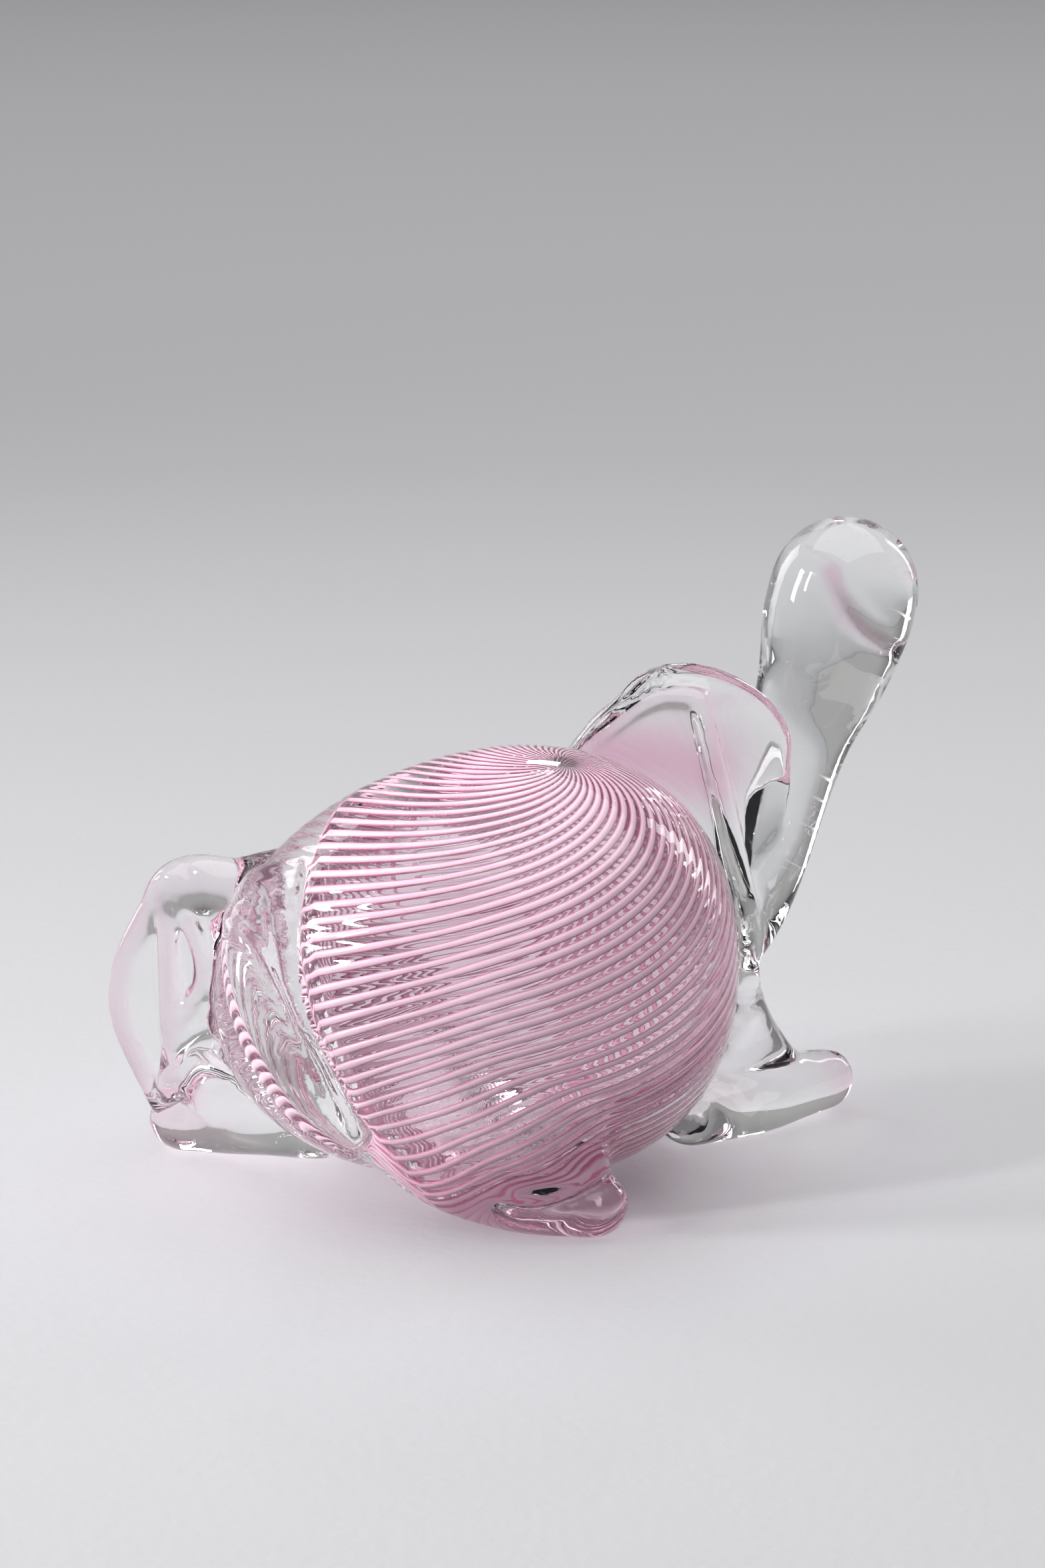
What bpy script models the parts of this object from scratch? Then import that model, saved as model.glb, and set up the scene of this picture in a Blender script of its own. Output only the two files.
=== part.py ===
"""Blown and hot-worked glass turtle with a filigree shell, standing on its feet.

Frame: metres, +Z up, origin under the middle of the figure on the table, +X towards
the head, +Y away from the side that is seen in the photograph.

Sub-parts:
    clear_casing        outer clear gather over the filigree, open at the blow hole
    inner_bubble        clear inner wall of the hollow shell, open at the blow hole
    cane_01 ...         pink and white filigree canes wound between the two walls
    seal_button         clear button that closes the blow hole under the shell
    neck, head          drawn clear neck and the bulb folded over at its top
    collar_hood         clear fin pressed to a leaf behind the neck
    near_foot           foot towards the viewer, toe turned to the right
    right_foot          foot on the far right with its thin limb up the shell
    left_foot           foot under the tail
    far_foot            foot on the side that is hidden
    tail_fin            clear fin pressed to a flat window at the left end
    side_leaf           clear leaf laid along the shell beside the tail
"""

import math
from copy import copy

import bmesh
import bpy
from mathutils import Matrix, Vector

MM = 0.001
GAP = 0.3 * MM

# Blown shell: a full egg, longer and drooping to the left.
SHELL_RIGHT = 38.6 * MM
SHELL_LEFT = 54.0 * MM
SHELL_DEPTH = 38.0 * MM
SHELL_HEIGHT = 38.2 * MM
SHELL_LIFT = 0.8 * MM
SHELL_CENTRE = Vector((0.0, 0.0, SHELL_LIFT + SHELL_HEIGHT))
FULL_RIGHT = 2.25
FULL_LEFT = 2.1
SHELL_DROOP = 0.13
DROOP_START = 8.0 * MM
POLE = Vector((0.207, -0.061, 0.976)).normalized()
CASING_SEGMENTS = 32
BUBBLE_SEGMENTS = 28
SHELL_RINGS = 18

# Wall, from the outside in: casing, canes, bubble.
CASING_WALL = 1.1 * MM
CANE_RADIUS = 0.42 * MM
FACET_SAG = 0.35 * MM
CANE_INSET = CASING_WALL + GAP + FACET_SAG + CANE_RADIUS
BUBBLE_INSET = CANE_INSET + CANE_RADIUS + FACET_SAG + GAP
BUBBLE_WALL = 1.3 * MM

# Filigree: canes wound evenly from the pole to beside the blow hole.
CANE_COUNT = 45
CANE_POINTS = 23
CANE_START = math.radians(9.0)
CANE_END = math.radians(150.0)
CANE_TWIST = 1.9
CANE_SPACE = 0.25 * MM

# Seal button in the blow hole.
HOLE_ANGLE = math.pi / SHELL_RINGS
SEAL_RADIUS = 5.0 * MM
SEAL_FLANGE = 4.2 * MM
SEAL_DEPTH = 6.2 * MM
SEAL_SHOULDER = 4.0 * MM
SEAL_EDGE = 0.8 * MM
SEAL_SET_IN = 0.2 * MM

# Head bulb, leaning with the neck and measured from the neck's last section.
HEAD_OFFSET = Vector((4.5, 3.0, 12.8)) * MM
HEAD_RADII = (14.2 * MM, 13.0 * MM, 16.2 * MM)
HEAD_LEAN = math.radians(8.0)

# Applied lumps: latitude rings that round each end off.
END_RINGS = 3


class Station:
    """One cross-section of a hot-formed lump.

    Args:
        x, y, z: centre of the section in millimetres, measured from the lump's seat on the
            shell, or with its height from the table where the lump stands on it.
        wide: half-width across the lump's side direction in millimetres.
        deep: half-depth square to that in millimetres.
    """

    def __init__(self, x, y, z, wide, deep):
        self.centre = Vector((x, y, z)) * MM
        self.wide = wide * MM
        self.deep = deep * MM

    def moved(self, place):
        """Return the same section with its centre carried along by a vector."""
        section = copy(self)
        section.centre = self.centre + place
        return section


# Applied lumps, each seated where its direction from the shell's centre meets the shell.
NECK_SEAT = Vector((0.83, 0.44, -0.1))
NECK = [Station(5.2, 1.55, 0.19, 4.5, 4.5), Station(7.1, 4.55, 4.69, 6.6, 6.4),
        Station(9.6, 10.55, 13.19, 8.2, 8.2), Station(13.2, 16.55, 24.09, 8.9, 8.9),
        Station(17.0, 21.55, 35.19, 9.7, 9.4), Station(20.1, 25.55, 45.99, 11.2, 10.4)]
HOOD_SEAT = Vector((0.55, 0.5, 0.67))
HOOD = [Station(0.66, 4.73, -12.09, 22.0, 7.4), Station(5.96, 5.73, -3.29, 21.0, 7.4),
        Station(9.56, 6.23, 3.21, 18.6, 6.8), Station(12.06, 6.73, 8.31, 15.4, 6.0)]
HOOD_SIDE = Vector((0.731, 0.0, -0.682))
TAIL_SEAT = Vector((-1.0, 0.08, -0.02))
TAIL_FIN = [Station(5.72, -1.7, 0.09, 18.5, 9.0), Station(-0.28, -0.3, -0.41, 19.0, 5.0),
            Station(-6.28, 0.7, -0.91, 18.4, 3.4), Station(-11.08, 1.7, -1.41, 15.0, 2.6)]
TAIL_LOBE = [Station(14.72, 0.1, 20.29, 5.6, 5.4), Station(6.72, -1.1, 20.29, 6.2, 5.6),
             Station(-1.28, -0.9, 20.09, 5.9, 5.4), Station(-7.88, 0.3, 17.49, 4.8, 4.6)]
LEAF_SEAT = Vector((-0.77, -0.62, -0.14))
SIDE_LEAF = [Station(-7.69, 22.17, 25.58, 6.2, 5.0), Station(-8.39, 12.67, 20.98, 7.0, 5.6),
             Station(-7.39, 5.67, 12.18, 7.0, 6.0), Station(-3.99, 2.07, 3.18, 6.8, 5.8),
             Station(1.01, 1.07, -5.22, 5.8, 5.0), Station(5.81, 2.07, -11.42, 3.4, 3.4)]
LEAF_SIDE = Vector((0.8, -0.5, 0.2)).normalized()

# Feet, seated the same way but with their heights measured from the table.
NEAR_SEAT = Vector((-0.08, -0.6, -0.8))
NEAR_SOLE = [Station(-8.95, 8.85, 8.2, 9.4, 8.8), Station(0.05, -0.15, 7.3, 9.6, 8.0),
             Station(8.05, -5.45, 6.0, 8.2, 6.8), Station(15.55, -7.75, 4.9, 5.8, 5.6)]
NEAR_ANKLE = [Station(5.05, -2.15, 10.5, 5.5, 5.0), Station(12.85, -4.15, 11.3, 5.0, 4.6)]
RIGHT_SEAT = Vector((0.75, 0.3, -0.59))
RIGHT_SOLE = [Station(3.09, 2.83, 5.7, 7.0, 6.5), Station(13.09, 9.03, 6.2, 7.8, 7.0),
              Station(21.09, 14.03, 5.4, 5.4, 5.6), Station(27.69, 19.03, 4.6, 4.3, 4.4)]
RIGHT_LIMB = [Station(11.69, 5.03, 40.0, 2.0, 2.0), Station(11.49, 5.03, 30.0, 2.5, 2.8),
              Station(11.09, 6.03, 20.0, 4.6, 4.4), Station(11.69, 7.53, 11.0, 7.0, 6.8)]
LEFT_SEAT = Vector((-0.85, 0.2, -0.48))
LEFT_FOOT = [Station(1.5, -0.76, 7.2, 8.0, 7.8), Station(-8.5, 1.74, 6.6, 8.2, 7.4),
             Station(-19.7, 2.54, 4.8, 6.4, 5.3)]
FAR_SEAT = Vector((-0.2, 0.6, -0.77))
FAR_FOOT = [Station(1.75, -3.24, 7.6, 8.0, 8.2), Station(-2.25, 4.76, 6.4, 8.0, 7.2),
            Station(-7.25, 11.76, 5.0, 6.0, 5.8)]

CLEAR_GLASS = ((0.90, 0.93, 0.92, 1.0), 0.04)
CASED_GLASS = ((0.93, 0.90, 0.92, 1.0), 0.04)
PINK_CANE = ((0.80, 0.42, 0.55, 1.0), 0.22)


def clear_scene():
    """Remove whatever the scene holds."""
    for item in list(bpy.data.objects):
        bpy.data.objects.remove(item, do_unlink=True)


def new_collection(name):
    """Return a new collection linked to the scene."""
    group = bpy.data.collections.new(name)
    bpy.context.scene.collection.children.link(group)
    return group


def glass_material(name, look, transmission=1.0):
    """Return a Principled material with a colour, a roughness and a transmission weight."""
    colour, roughness = look
    material = bpy.data.materials.new(name)
    material.use_nodes = True
    shader = material.node_tree.nodes["Principled BSDF"]
    shader.inputs["Base Color"].default_value = colour
    shader.inputs["Roughness"].default_value = roughness
    shader.inputs["Metallic"].default_value = 0.0
    shader.inputs["Transmission Weight"].default_value = transmission
    shader.inputs["IOR"].default_value = 1.5
    return material


def add_mesh_object(name, mesh_bm, collection, material=None):
    """Turn a bmesh into a smooth-shaded object with its own material."""
    mesh = bpy.data.meshes.new(name)
    mesh_bm.normal_update()
    bmesh.ops.recalc_face_normals(mesh_bm, faces=mesh_bm.faces)
    mesh_bm.to_mesh(mesh)
    mesh_bm.free()
    mesh.shade_smooth()
    item = bpy.data.objects.new(name, mesh)
    collection.objects.link(item)
    if material is not None:
        mesh.materials.append(material)
    return item


def pole_frame():
    """Return the turn that carries +Z to the filigree's pole and +X to its right."""
    right = (Vector((1.0, 0.0, 0.0)) - POLE * POLE.x).normalized()
    return Matrix((right, POLE.cross(right), POLE)).transposed()


def shell_point(direction, inset=0.0):
    """Return the shell's surface point along a unit direction, moved in by inset."""
    reach, fullness = (SHELL_RIGHT, FULL_RIGHT) if direction.x > 0.0 else (SHELL_LEFT, FULL_LEFT)
    across = math.hypot(direction.y / (SHELL_DEPTH - inset), direction.z / (SHELL_HEIGHT - inset))
    along = abs(direction.x) / (reach - inset)
    point = direction * (along ** fullness + across ** fullness) ** (-1.0 / fullness)
    if point.x < 0.0:
        point.z -= SHELL_DROOP * (math.hypot(point.x, DROOP_START) - DROOP_START)
    return SHELL_CENTRE + point


def shell_bmesh(inset, segments, blow_hole):
    """Return a sphere pulled to the shell's form, with its bottom cap removed for a blow hole."""
    mesh_bm = bmesh.new()
    bmesh.ops.create_uvsphere(mesh_bm, u_segments=segments, v_segments=SHELL_RINGS, radius=1.0)
    if blow_hole:
        lowest = min(mesh_bm.verts, key=lambda vert: vert.co.z)
        bmesh.ops.delete(mesh_bm, geom=[lowest], context="VERTS")
    turn = pole_frame()
    for vert in mesh_bm.verts:
        vert.co = shell_point((turn @ vert.co).normalized(), inset)
    return mesh_bm


def blown_wall(name, inset, wall, segments, collection, material):
    """Make one hollow glass wall, thickened inwards from its outer surface."""
    item = add_mesh_object(name, shell_bmesh(inset, segments, True), collection, material)
    solid = item.modifiers.new("Wall", "SOLIDIFY")
    solid.thickness = wall
    solid.offset = -1.0
    solid.use_even_offset = True
    return item


def cane_direction(polar, azimuth, turn):
    """Return the unit direction at a polar angle and azimuth about the filigree's pole."""
    local = Vector((math.sin(polar) * math.cos(azimuth), math.sin(polar) * math.sin(azimuth),
                    math.cos(polar)))
    return turn @ local


def make_canes(collection, material):
    """Wind the filigree canes from the pole down and round towards the blow hole."""
    turn = pole_frame()
    step = 2.0 * math.pi / CANE_COUNT
    for number in range(CANE_COUNT):
        name = f"cane_{number + 1:02d}"
        curve = bpy.data.curves.new(name, "CURVE")
        curve.dimensions = "3D"
        curve.bevel_depth = CANE_RADIUS
        curve.bevel_resolution = 0
        curve.use_fill_caps = True
        spline = curve.splines.new("POLY")
        spline.points.add(CANE_POINTS - 1)
        for index, point in enumerate(spline.points):
            polar = CANE_START + (CANE_END - CANE_START) * index / (CANE_POINTS - 1)
            direction = cane_direction(polar, number * step - CANE_TWIST * polar, turn)
            place = shell_point(direction, CANE_INSET)
            ring = (place - SHELL_CENTRE).length * math.sin(polar)
            lean = math.atan(CANE_TWIST * math.sin(polar))
            room = 0.5 * (ring * step * math.cos(lean) - CANE_SPACE)
            point.co = (*place, 1.0)
            point.radius = min(1.0, room / CANE_RADIUS)
        curve.materials.append(material)
        collection.objects.link(bpy.data.objects.new(name, curve))


def seated(stations, seat, standing=False):
    """Return a lump's stations carried to its seat on the shell.

    Args:
        stations: sections measured from the seat.
        seat: direction from the shell's centre to the seat.
        standing: True for a foot, whose heights are measured from the table.
    """
    place = shell_point(seat.normalized())
    if standing:
        place.z = 0.0
    return [station.moved(place) for station in stations]


def spine_point(stations, along):
    """Return centre, half-width and half-depth at a fraction of a lump's spine (Catmull-Rom)."""
    last = len(stations) - 1
    place = min(max(along, 0.0), 1.0) * last
    index = min(int(place), last - 1)
    part = place - index
    four = [stations[min(max(index + k, 0), last)] for k in (-1, 0, 1, 2)]

    def blend(values):
        before, start, end, after = values
        return 0.5 * ((2.0 * start) + (end - before) * part
                      + (2.0 * before - 5.0 * start + 4.0 * end - after) * part ** 2
                      + (3.0 * start - before - 3.0 * end + after) * part ** 3)

    return (blend([s.centre for s in four]), blend([s.wide for s in four]), blend([s.deep for s in four]))


def lump_bmesh(stations, side, grow=0.0, segments=16, rings=14):
    """Return a sphere drawn out along a spine of stations, as a hot bit of glass is.

    Args:
        stations: cross-sections from root to tip, with round ends beyond the first and last.
        side: direction that the half-widths are measured along.
        grow: extra radius, for a cutter that leaves a gap.
        segments, rings: divisions round and along the lump.
    """
    mesh_bm = bmesh.new()
    bmesh.ops.create_uvsphere(mesh_bm, u_segments=segments, v_segments=rings, radius=1.0)
    straight = 1.0 - 2.0 * END_RINGS / rings
    for vert in mesh_bm.verts:
        height = math.asin(max(-1.0, min(1.0, vert.co.z))) * 2.0 / math.pi
        around = math.atan2(vert.co.y, vert.co.x)
        along = 0.5 * (max(-1.0, min(1.0, height / straight)) + 1.0)
        turn_in = max(0.0, (abs(height) - straight) / (1.0 - straight)) * 0.5 * math.pi
        centre, wide, deep = spine_point(stations, along)
        ahead = spine_point(stations, along + 0.02)[0] - spine_point(stations, along - 0.02)[0]
        ahead.normalize()
        across = (side - ahead * side.dot(ahead)).normalized()
        square = ahead.cross(across)
        taper = math.cos(turn_in)
        tip = ahead * math.copysign((0.5 * (wide + deep) + grow) * math.sin(turn_in), height)
        vert.co = (centre + tip + across * ((wide + grow) * taper * math.cos(around))
                   + square * ((deep + grow) * taper * math.sin(around)))
    bmesh.ops.remove_doubles(mesh_bm, verts=mesh_bm.verts, dist=0.00001)
    return mesh_bm


def cut_flat(mesh_bm):
    """Cut a lump off at the table and close it with a flat sole."""
    cut = bmesh.ops.bisect_plane(mesh_bm, geom=mesh_bm.verts[:] + mesh_bm.edges[:] + mesh_bm.faces[:],
                                 plane_co=(0.0, 0.0, 0.0), plane_no=(0.0, 0.0, 1.0), clear_inner=True)
    rim = [piece for piece in cut["geom_cut"] if isinstance(piece, bmesh.types.BMEdge)]
    if rim:
        bmesh.ops.contextual_create(mesh_bm, geom=rim)
    return mesh_bm


def make_cutter(name, mesh_bm, collection):
    """Make a hidden solid that other pieces are cut by."""
    cutter = add_mesh_object(name, mesh_bm, collection)
    cutter.hide_render = True
    cutter.display_type = "WIRE"
    return cutter


def add_boolean(item, other, operation):
    """Join another solid to a piece, or cut it away, with an exact Boolean."""
    step = item.modifiers.new(operation.title() + " " + other.name, "BOOLEAN")
    step.operation = operation
    step.solver = "EXACT"
    step.object = other


def fit_against(item, cutters):
    """Cut a piece back so that it lies against its neighbours with a gap."""
    for cutter in cutters:
        add_boolean(item, cutter, "DIFFERENCE")


def head_bmesh(neck, grow=0.0):
    """Return the bulb of the head, leaning with the neck and held over its last section."""
    mesh_bm = bmesh.new()
    bmesh.ops.create_uvsphere(mesh_bm, u_segments=24, v_segments=14, radius=1.0)
    radii = Vector(HEAD_RADII) + Vector((grow, grow, grow))
    place = (Matrix.Translation(neck[-1].centre + HEAD_OFFSET) @ Matrix.Rotation(HEAD_LEAN, 4, "Y")
             @ Matrix.Diagonal((*radii, 1.0)))
    bmesh.ops.transform(mesh_bm, matrix=place, verts=mesh_bm.verts)
    return mesh_bm


def make_seal(collection, material):
    """Turn the button that closes the blow hole, on the pole's axis under the shell."""
    outer = (shell_point(-POLE) - SHELL_CENTRE).length
    lip = outer * math.cos(HOLE_ANGLE)
    profile = bmesh.new()
    points = [Vector((0.0, 0.0, -lip + SEAL_DEPTH)), Vector((SEAL_FLANGE, 0.0, -lip + SEAL_DEPTH)),
              Vector((SEAL_RADIUS, 0.0, -lip + SEAL_SHOULDER)), Vector((SEAL_RADIUS, 0.0, -lip + SEAL_EDGE)),
              Vector((SEAL_FLANGE, 0.0, -lip + SEAL_SET_IN)), Vector((0.0, 0.0, -lip + SEAL_SET_IN))]
    verts = [profile.verts.new(point) for point in points]
    for start, end in zip(verts, verts[1:]):
        profile.edges.new((start, end))
    mesh = bpy.data.meshes.new("seal_button")
    profile.to_mesh(mesh)
    profile.free()
    mesh.materials.append(material)
    item = bpy.data.objects.new("seal_button", mesh)
    collection.objects.link(item)
    item.matrix_world = Matrix.Translation(SHELL_CENTRE) @ pole_frame().to_4x4()
    turned = item.modifiers.new("Turn", "SCREW")
    turned.steps = 24
    turned.render_steps = 24
    turned.use_merge_vertices = True
    turned.merge_threshold = 0.00001
    return item


def stand_on_origin(items, cutters):
    """Hang every piece and cutter on one empty so that the figure stands over the origin."""
    bpy.context.view_layer.update()
    depsgraph = bpy.context.evaluated_depsgraph_get()
    low = Vector((math.inf, math.inf, math.inf))
    high = -low
    for item in items:
        posed = item.evaluated_get(depsgraph)
        mesh = posed.to_mesh()
        for vert in mesh.vertices:
            place = posed.matrix_world @ vert.co
            low = Vector(map(min, low, place))
            high = Vector(map(max, high, place))
        posed.to_mesh_clear()
    carrier = bpy.data.objects.new("turtle_origin", None)
    bpy.context.scene.collection.objects.link(carrier)
    for item in items + cutters:
        item.parent = carrier
    carrier.location = (-0.5 * (low.x + high.x), -0.5 * (low.y + high.y), -low.z)


def build():
    """Make the whole figure."""
    clear_scene()
    figure = new_collection("glass_turtle")
    tools = new_collection("cutters")
    casing_glass = glass_material("casing_glass", CASED_GLASS)
    bubble_glass = glass_material("bubble_glass", CASED_GLASS)
    cane_glass = glass_material("cane_glass", PINK_CANE, transmission=0.0)

    blown_wall("clear_casing", 0.0, CASING_WALL, CASING_SEGMENTS, figure, casing_glass)
    blown_wall("inner_bubble", BUBBLE_INSET, BUBBLE_WALL, BUBBLE_SEGMENTS, figure, bubble_glass)
    make_canes(figure, cane_glass)
    make_seal(figure, glass_material("clear_seal", CLEAR_GLASS))

    neck = seated(NECK, NECK_SEAT)
    hood = seated(HOOD, HOOD_SEAT)
    tail = seated(TAIL_FIN, TAIL_SEAT)
    lobe = seated(TAIL_LOBE, TAIL_SEAT)
    leaf = seated(SIDE_LEAF, LEAF_SEAT)
    near_sole = seated(NEAR_SOLE, NEAR_SEAT, standing=True)
    near_ankle = seated(NEAR_ANKLE, NEAR_SEAT, standing=True)
    right_sole = seated(RIGHT_SOLE, RIGHT_SEAT, standing=True)
    right_limb = seated(RIGHT_LIMB, RIGHT_SEAT, standing=True)
    left_sole = seated(LEFT_FOOT, LEFT_SEAT, standing=True)
    far_sole = seated(FAR_FOOT, FAR_SEAT, standing=True)

    near = Vector((0.0, -1.0, 0.0))
    right = Vector((1.0, 0.0, 0.0))
    up = Vector((0.0, 0.0, 1.0))
    shell_cut = make_cutter("shell_cut", shell_bmesh(-GAP, CASING_SEGMENTS, False), tools)
    head_cut = make_cutter("head_cut", head_bmesh(neck, GAP), tools)
    neck_cut = make_cutter("neck_cut", lump_bmesh(neck, right, GAP), tools)
    hood_cut = make_cutter("hood_cut", lump_bmesh(hood, HOOD_SIDE, GAP), tools)
    tail_cut = make_cutter("tail_cut", lump_bmesh(tail, up, GAP), tools)
    lobe_cut = make_cutter("lobe_cut", lump_bmesh(lobe, near, GAP), tools)
    left_cut = make_cutter("left_cut", lump_bmesh(left_sole, near, GAP), tools)
    ankle_add = make_cutter("ankle_add", lump_bmesh(near_ankle, near), tools)
    lobe_add = make_cutter("lobe_add", lump_bmesh(lobe, near), tools)
    limb_add = make_cutter("limb_add", lump_bmesh(right_limb, near, segments=12, rings=16), tools)

    add_mesh_object("head", head_bmesh(neck), figure, glass_material("clear_head", CLEAR_GLASS))
    lumps = (("neck", lump_bmesh(neck, right), [], [shell_cut, head_cut]),
             ("collar_hood", lump_bmesh(hood, HOOD_SIDE), [], [shell_cut, neck_cut]),
             ("near_foot", cut_flat(lump_bmesh(near_sole, near)), [ankle_add], [shell_cut]),
             ("right_foot", cut_flat(lump_bmesh(right_sole, near)), [limb_add],
              [shell_cut, hood_cut, neck_cut]),
             ("left_foot", cut_flat(lump_bmesh(left_sole, near)), [], [shell_cut]),
             ("far_foot", cut_flat(lump_bmesh(far_sole, right)), [], [shell_cut]),
             ("tail_fin", lump_bmesh(tail, up), [lobe_add], [shell_cut, left_cut]),
             ("side_leaf", lump_bmesh(leaf, LEAF_SIDE, segments=12, rings=12), [],
              [shell_cut, tail_cut, lobe_cut, left_cut]))
    for name, mesh_bm, additions, cutters in lumps:
        lump = add_mesh_object(name, mesh_bm, figure, glass_material("clear_" + name, CLEAR_GLASS))
        for addition in additions:
            add_boolean(lump, addition, "UNION")
        fit_against(lump, cutters)

    stand_on_origin(list(figure.objects), list(tools.objects))


build()
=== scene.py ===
"""Looks of a blown and hot-worked glass turtle with a filigree shell.

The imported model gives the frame: metres, +Z up, the table at z = 0, +X towards the head and
+Y away from the side that the camera sees. Sizes are written in millimetres, in the maker's
frame that has the shell's middle over the origin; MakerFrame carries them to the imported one.
"""

import logging
import math
from dataclasses import dataclass
from enum import Enum

import bpy
import numpy as np
from mathutils import Matrix, Vector


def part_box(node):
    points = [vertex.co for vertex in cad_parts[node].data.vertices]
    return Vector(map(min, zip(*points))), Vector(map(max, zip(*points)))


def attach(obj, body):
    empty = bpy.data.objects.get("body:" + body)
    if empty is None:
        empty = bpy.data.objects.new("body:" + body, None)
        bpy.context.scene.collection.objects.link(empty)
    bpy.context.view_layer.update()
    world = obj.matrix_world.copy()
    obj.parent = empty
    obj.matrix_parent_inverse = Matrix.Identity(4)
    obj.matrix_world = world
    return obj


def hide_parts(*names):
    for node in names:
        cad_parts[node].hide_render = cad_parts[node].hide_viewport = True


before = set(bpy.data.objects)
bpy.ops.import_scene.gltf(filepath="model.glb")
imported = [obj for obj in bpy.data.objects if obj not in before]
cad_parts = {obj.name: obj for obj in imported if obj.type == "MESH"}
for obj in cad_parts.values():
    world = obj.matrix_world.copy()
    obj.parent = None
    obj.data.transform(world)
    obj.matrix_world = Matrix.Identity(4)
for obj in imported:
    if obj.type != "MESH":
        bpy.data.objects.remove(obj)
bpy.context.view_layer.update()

LOG = logging.getLogger("glass_turtle")
MM = 0.001
BODY = "root"
Triple = tuple[float, float, float]

# Drawing a bit: share of its length that its direction is taken over, share of its width that
# the last ring keeps, smallest turn worth making in radians, and rounding of its facets.
LOOK_ALONG = 0.02
LEAST_TAPER = 0.05
LEAST_TURN = 1e-5
ROUNDING = 2
# Steps from each point of a path to the next, and how fast a tool mark grows from its ends and
# falls off to its sides.
MARK_STEPS = 12
BLUSH_STEPS = 6
MARK_FADE = 5.0
MARK_EDGE = 1.5
# Divisions round the pole and from pole to pole.
GATHER_CUTS = (96, 64)
GUIDE_CUTS = (256, 168)
HOLLOW_CUTS = (144, 96)
# How far one pass of smoothing moves a vertex towards the middle of its neighbours.
RELAX = 0.5
# Refraction of soda glass, fine grain over a metre, polar angles in radians over which the ribs
# grow, noise levels of a dust speck, and how far up a face looks where dust starts and is full.
GLASS_IOR = 1.5
FINE_GRAIN_SCALE = 900.0
RIBS_GROW = (0.3, 0.9)
SPECK_LEVEL = (0.74, 0.78)
DUST_FACING = (-0.6, 1.0)


class Facing(Enum):
    """Direction that the wide half of a section is measured along."""

    NEAR = (0.0, -1.0, 0.0)
    RIGHT = (1.0, 0.0, 0.0)
    HOOD = (0.731, 0.0, -0.682)
    LEAF = (0.8, -0.5, 0.2)
    UP = (0.0, 0.0, 1.0)


def deselect_everything() -> None:
    """Leave nothing selected, so that an operator acts on new geometry only."""
    if bpy.context.object is not None and bpy.context.object.mode != "OBJECT":
        bpy.ops.object.mode_set(mode="OBJECT")
    bpy.ops.object.select_all(action="DESELECT")


def make_active(item: bpy.types.Object) -> None:
    """Select one object alone and make it the active one.

    Args:
        item: the object.
    """
    deselect_everything()
    item.select_set(True)
    bpy.context.view_layer.objects.active = item


def apply_modifiers(item: bpy.types.Object) -> None:
    """Apply every modifier of an object, in order.

    Args:
        item: the object.
    """
    make_active(item)
    for step in list(item.modifiers):
        bpy.ops.object.modifier_apply(modifier=step.name)


def set_places(mesh: bpy.types.Mesh, places: np.ndarray) -> None:
    """Write the places of a mesh's vertices.

    Args:
        mesh: mesh to change.
        places: one row of x, y and z for each vertex, in metres.
    """
    mesh.vertices.foreach_set("co", np.asarray(places, np.float32).ravel())
    mesh.update()


def get_places(mesh: bpy.types.Mesh) -> np.ndarray:
    """Read the places of a mesh's vertices.

    Args:
        mesh: mesh to read.

    Returns:
        One row of x, y and z for each vertex, in metres.
    """
    places = np.empty(len(mesh.vertices) * 3, np.float32)
    mesh.vertices.foreach_get("co", places)
    return places.reshape(-1, 3).astype(float)


def keep_note(mesh: bpy.types.Mesh, title: str, values: np.ndarray) -> None:
    """Keep one number for each vertex as an attribute that a material reads.

    Args:
        mesh: mesh to write on.
        title: name of the attribute.
        values: one number for each vertex.
    """
    note = mesh.attributes.new(title, "FLOAT", "POINT")
    note.data.foreach_set("value", np.asarray(values, np.float32))


def relax(item: bpy.types.Object, title: str, passes: int) -> None:
    """Smooth an object's surface, as heat does.

    Args:
        item: object to smooth.
        title: name of the modifier.
        passes: how many times.
    """
    step = item.modifiers.new(title, "SMOOTH")
    step.factor = RELAX
    step.iterations = passes
    apply_modifiers(item)


def unit(rows: np.ndarray) -> np.ndarray:
    """Return the rows at a length of 1."""
    return rows / np.linalg.norm(rows, axis=1)[:, None]


def traced(knots: np.ndarray, steps: int) -> tuple[np.ndarray, np.ndarray]:
    """Walk along the straight lines between points.

    Args:
        knots: one point a row.
        steps: steps from each point to the next.

    Returns:
        Shares of the way, counted by steps, and the points there, one a row.
    """
    run = np.linspace(0.0, len(knots) - 1.0, steps * (len(knots) - 1) + 1)
    line = np.stack([np.interp(run, np.arange(len(knots)), axis) for axis in knots.T], axis=1)
    return run / run[-1], line


@dataclass(frozen=True)
class MakerFrame:
    """Where the maker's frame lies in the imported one.

    The head's bulb is a whole ellipsoid in the model, so the middle of its box is its centre.
    """

    head_centre: Triple = (59.4, 47.0, 93.6)

    def origin(self) -> Vector:
        """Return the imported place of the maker's origin."""
        low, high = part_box("head")
        return (low + high) * 0.5 - Vector(self.head_centre) * MM

    def place(self, x: float, y: float, z: float) -> Vector:
        """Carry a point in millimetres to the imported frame.

        Args:
            x: towards the head.
            y: away from the viewer.
            z: height over the table.

        Returns:
            The point in metres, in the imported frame.
        """
        return self.origin() + Vector((x, y, z)) * MM


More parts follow.
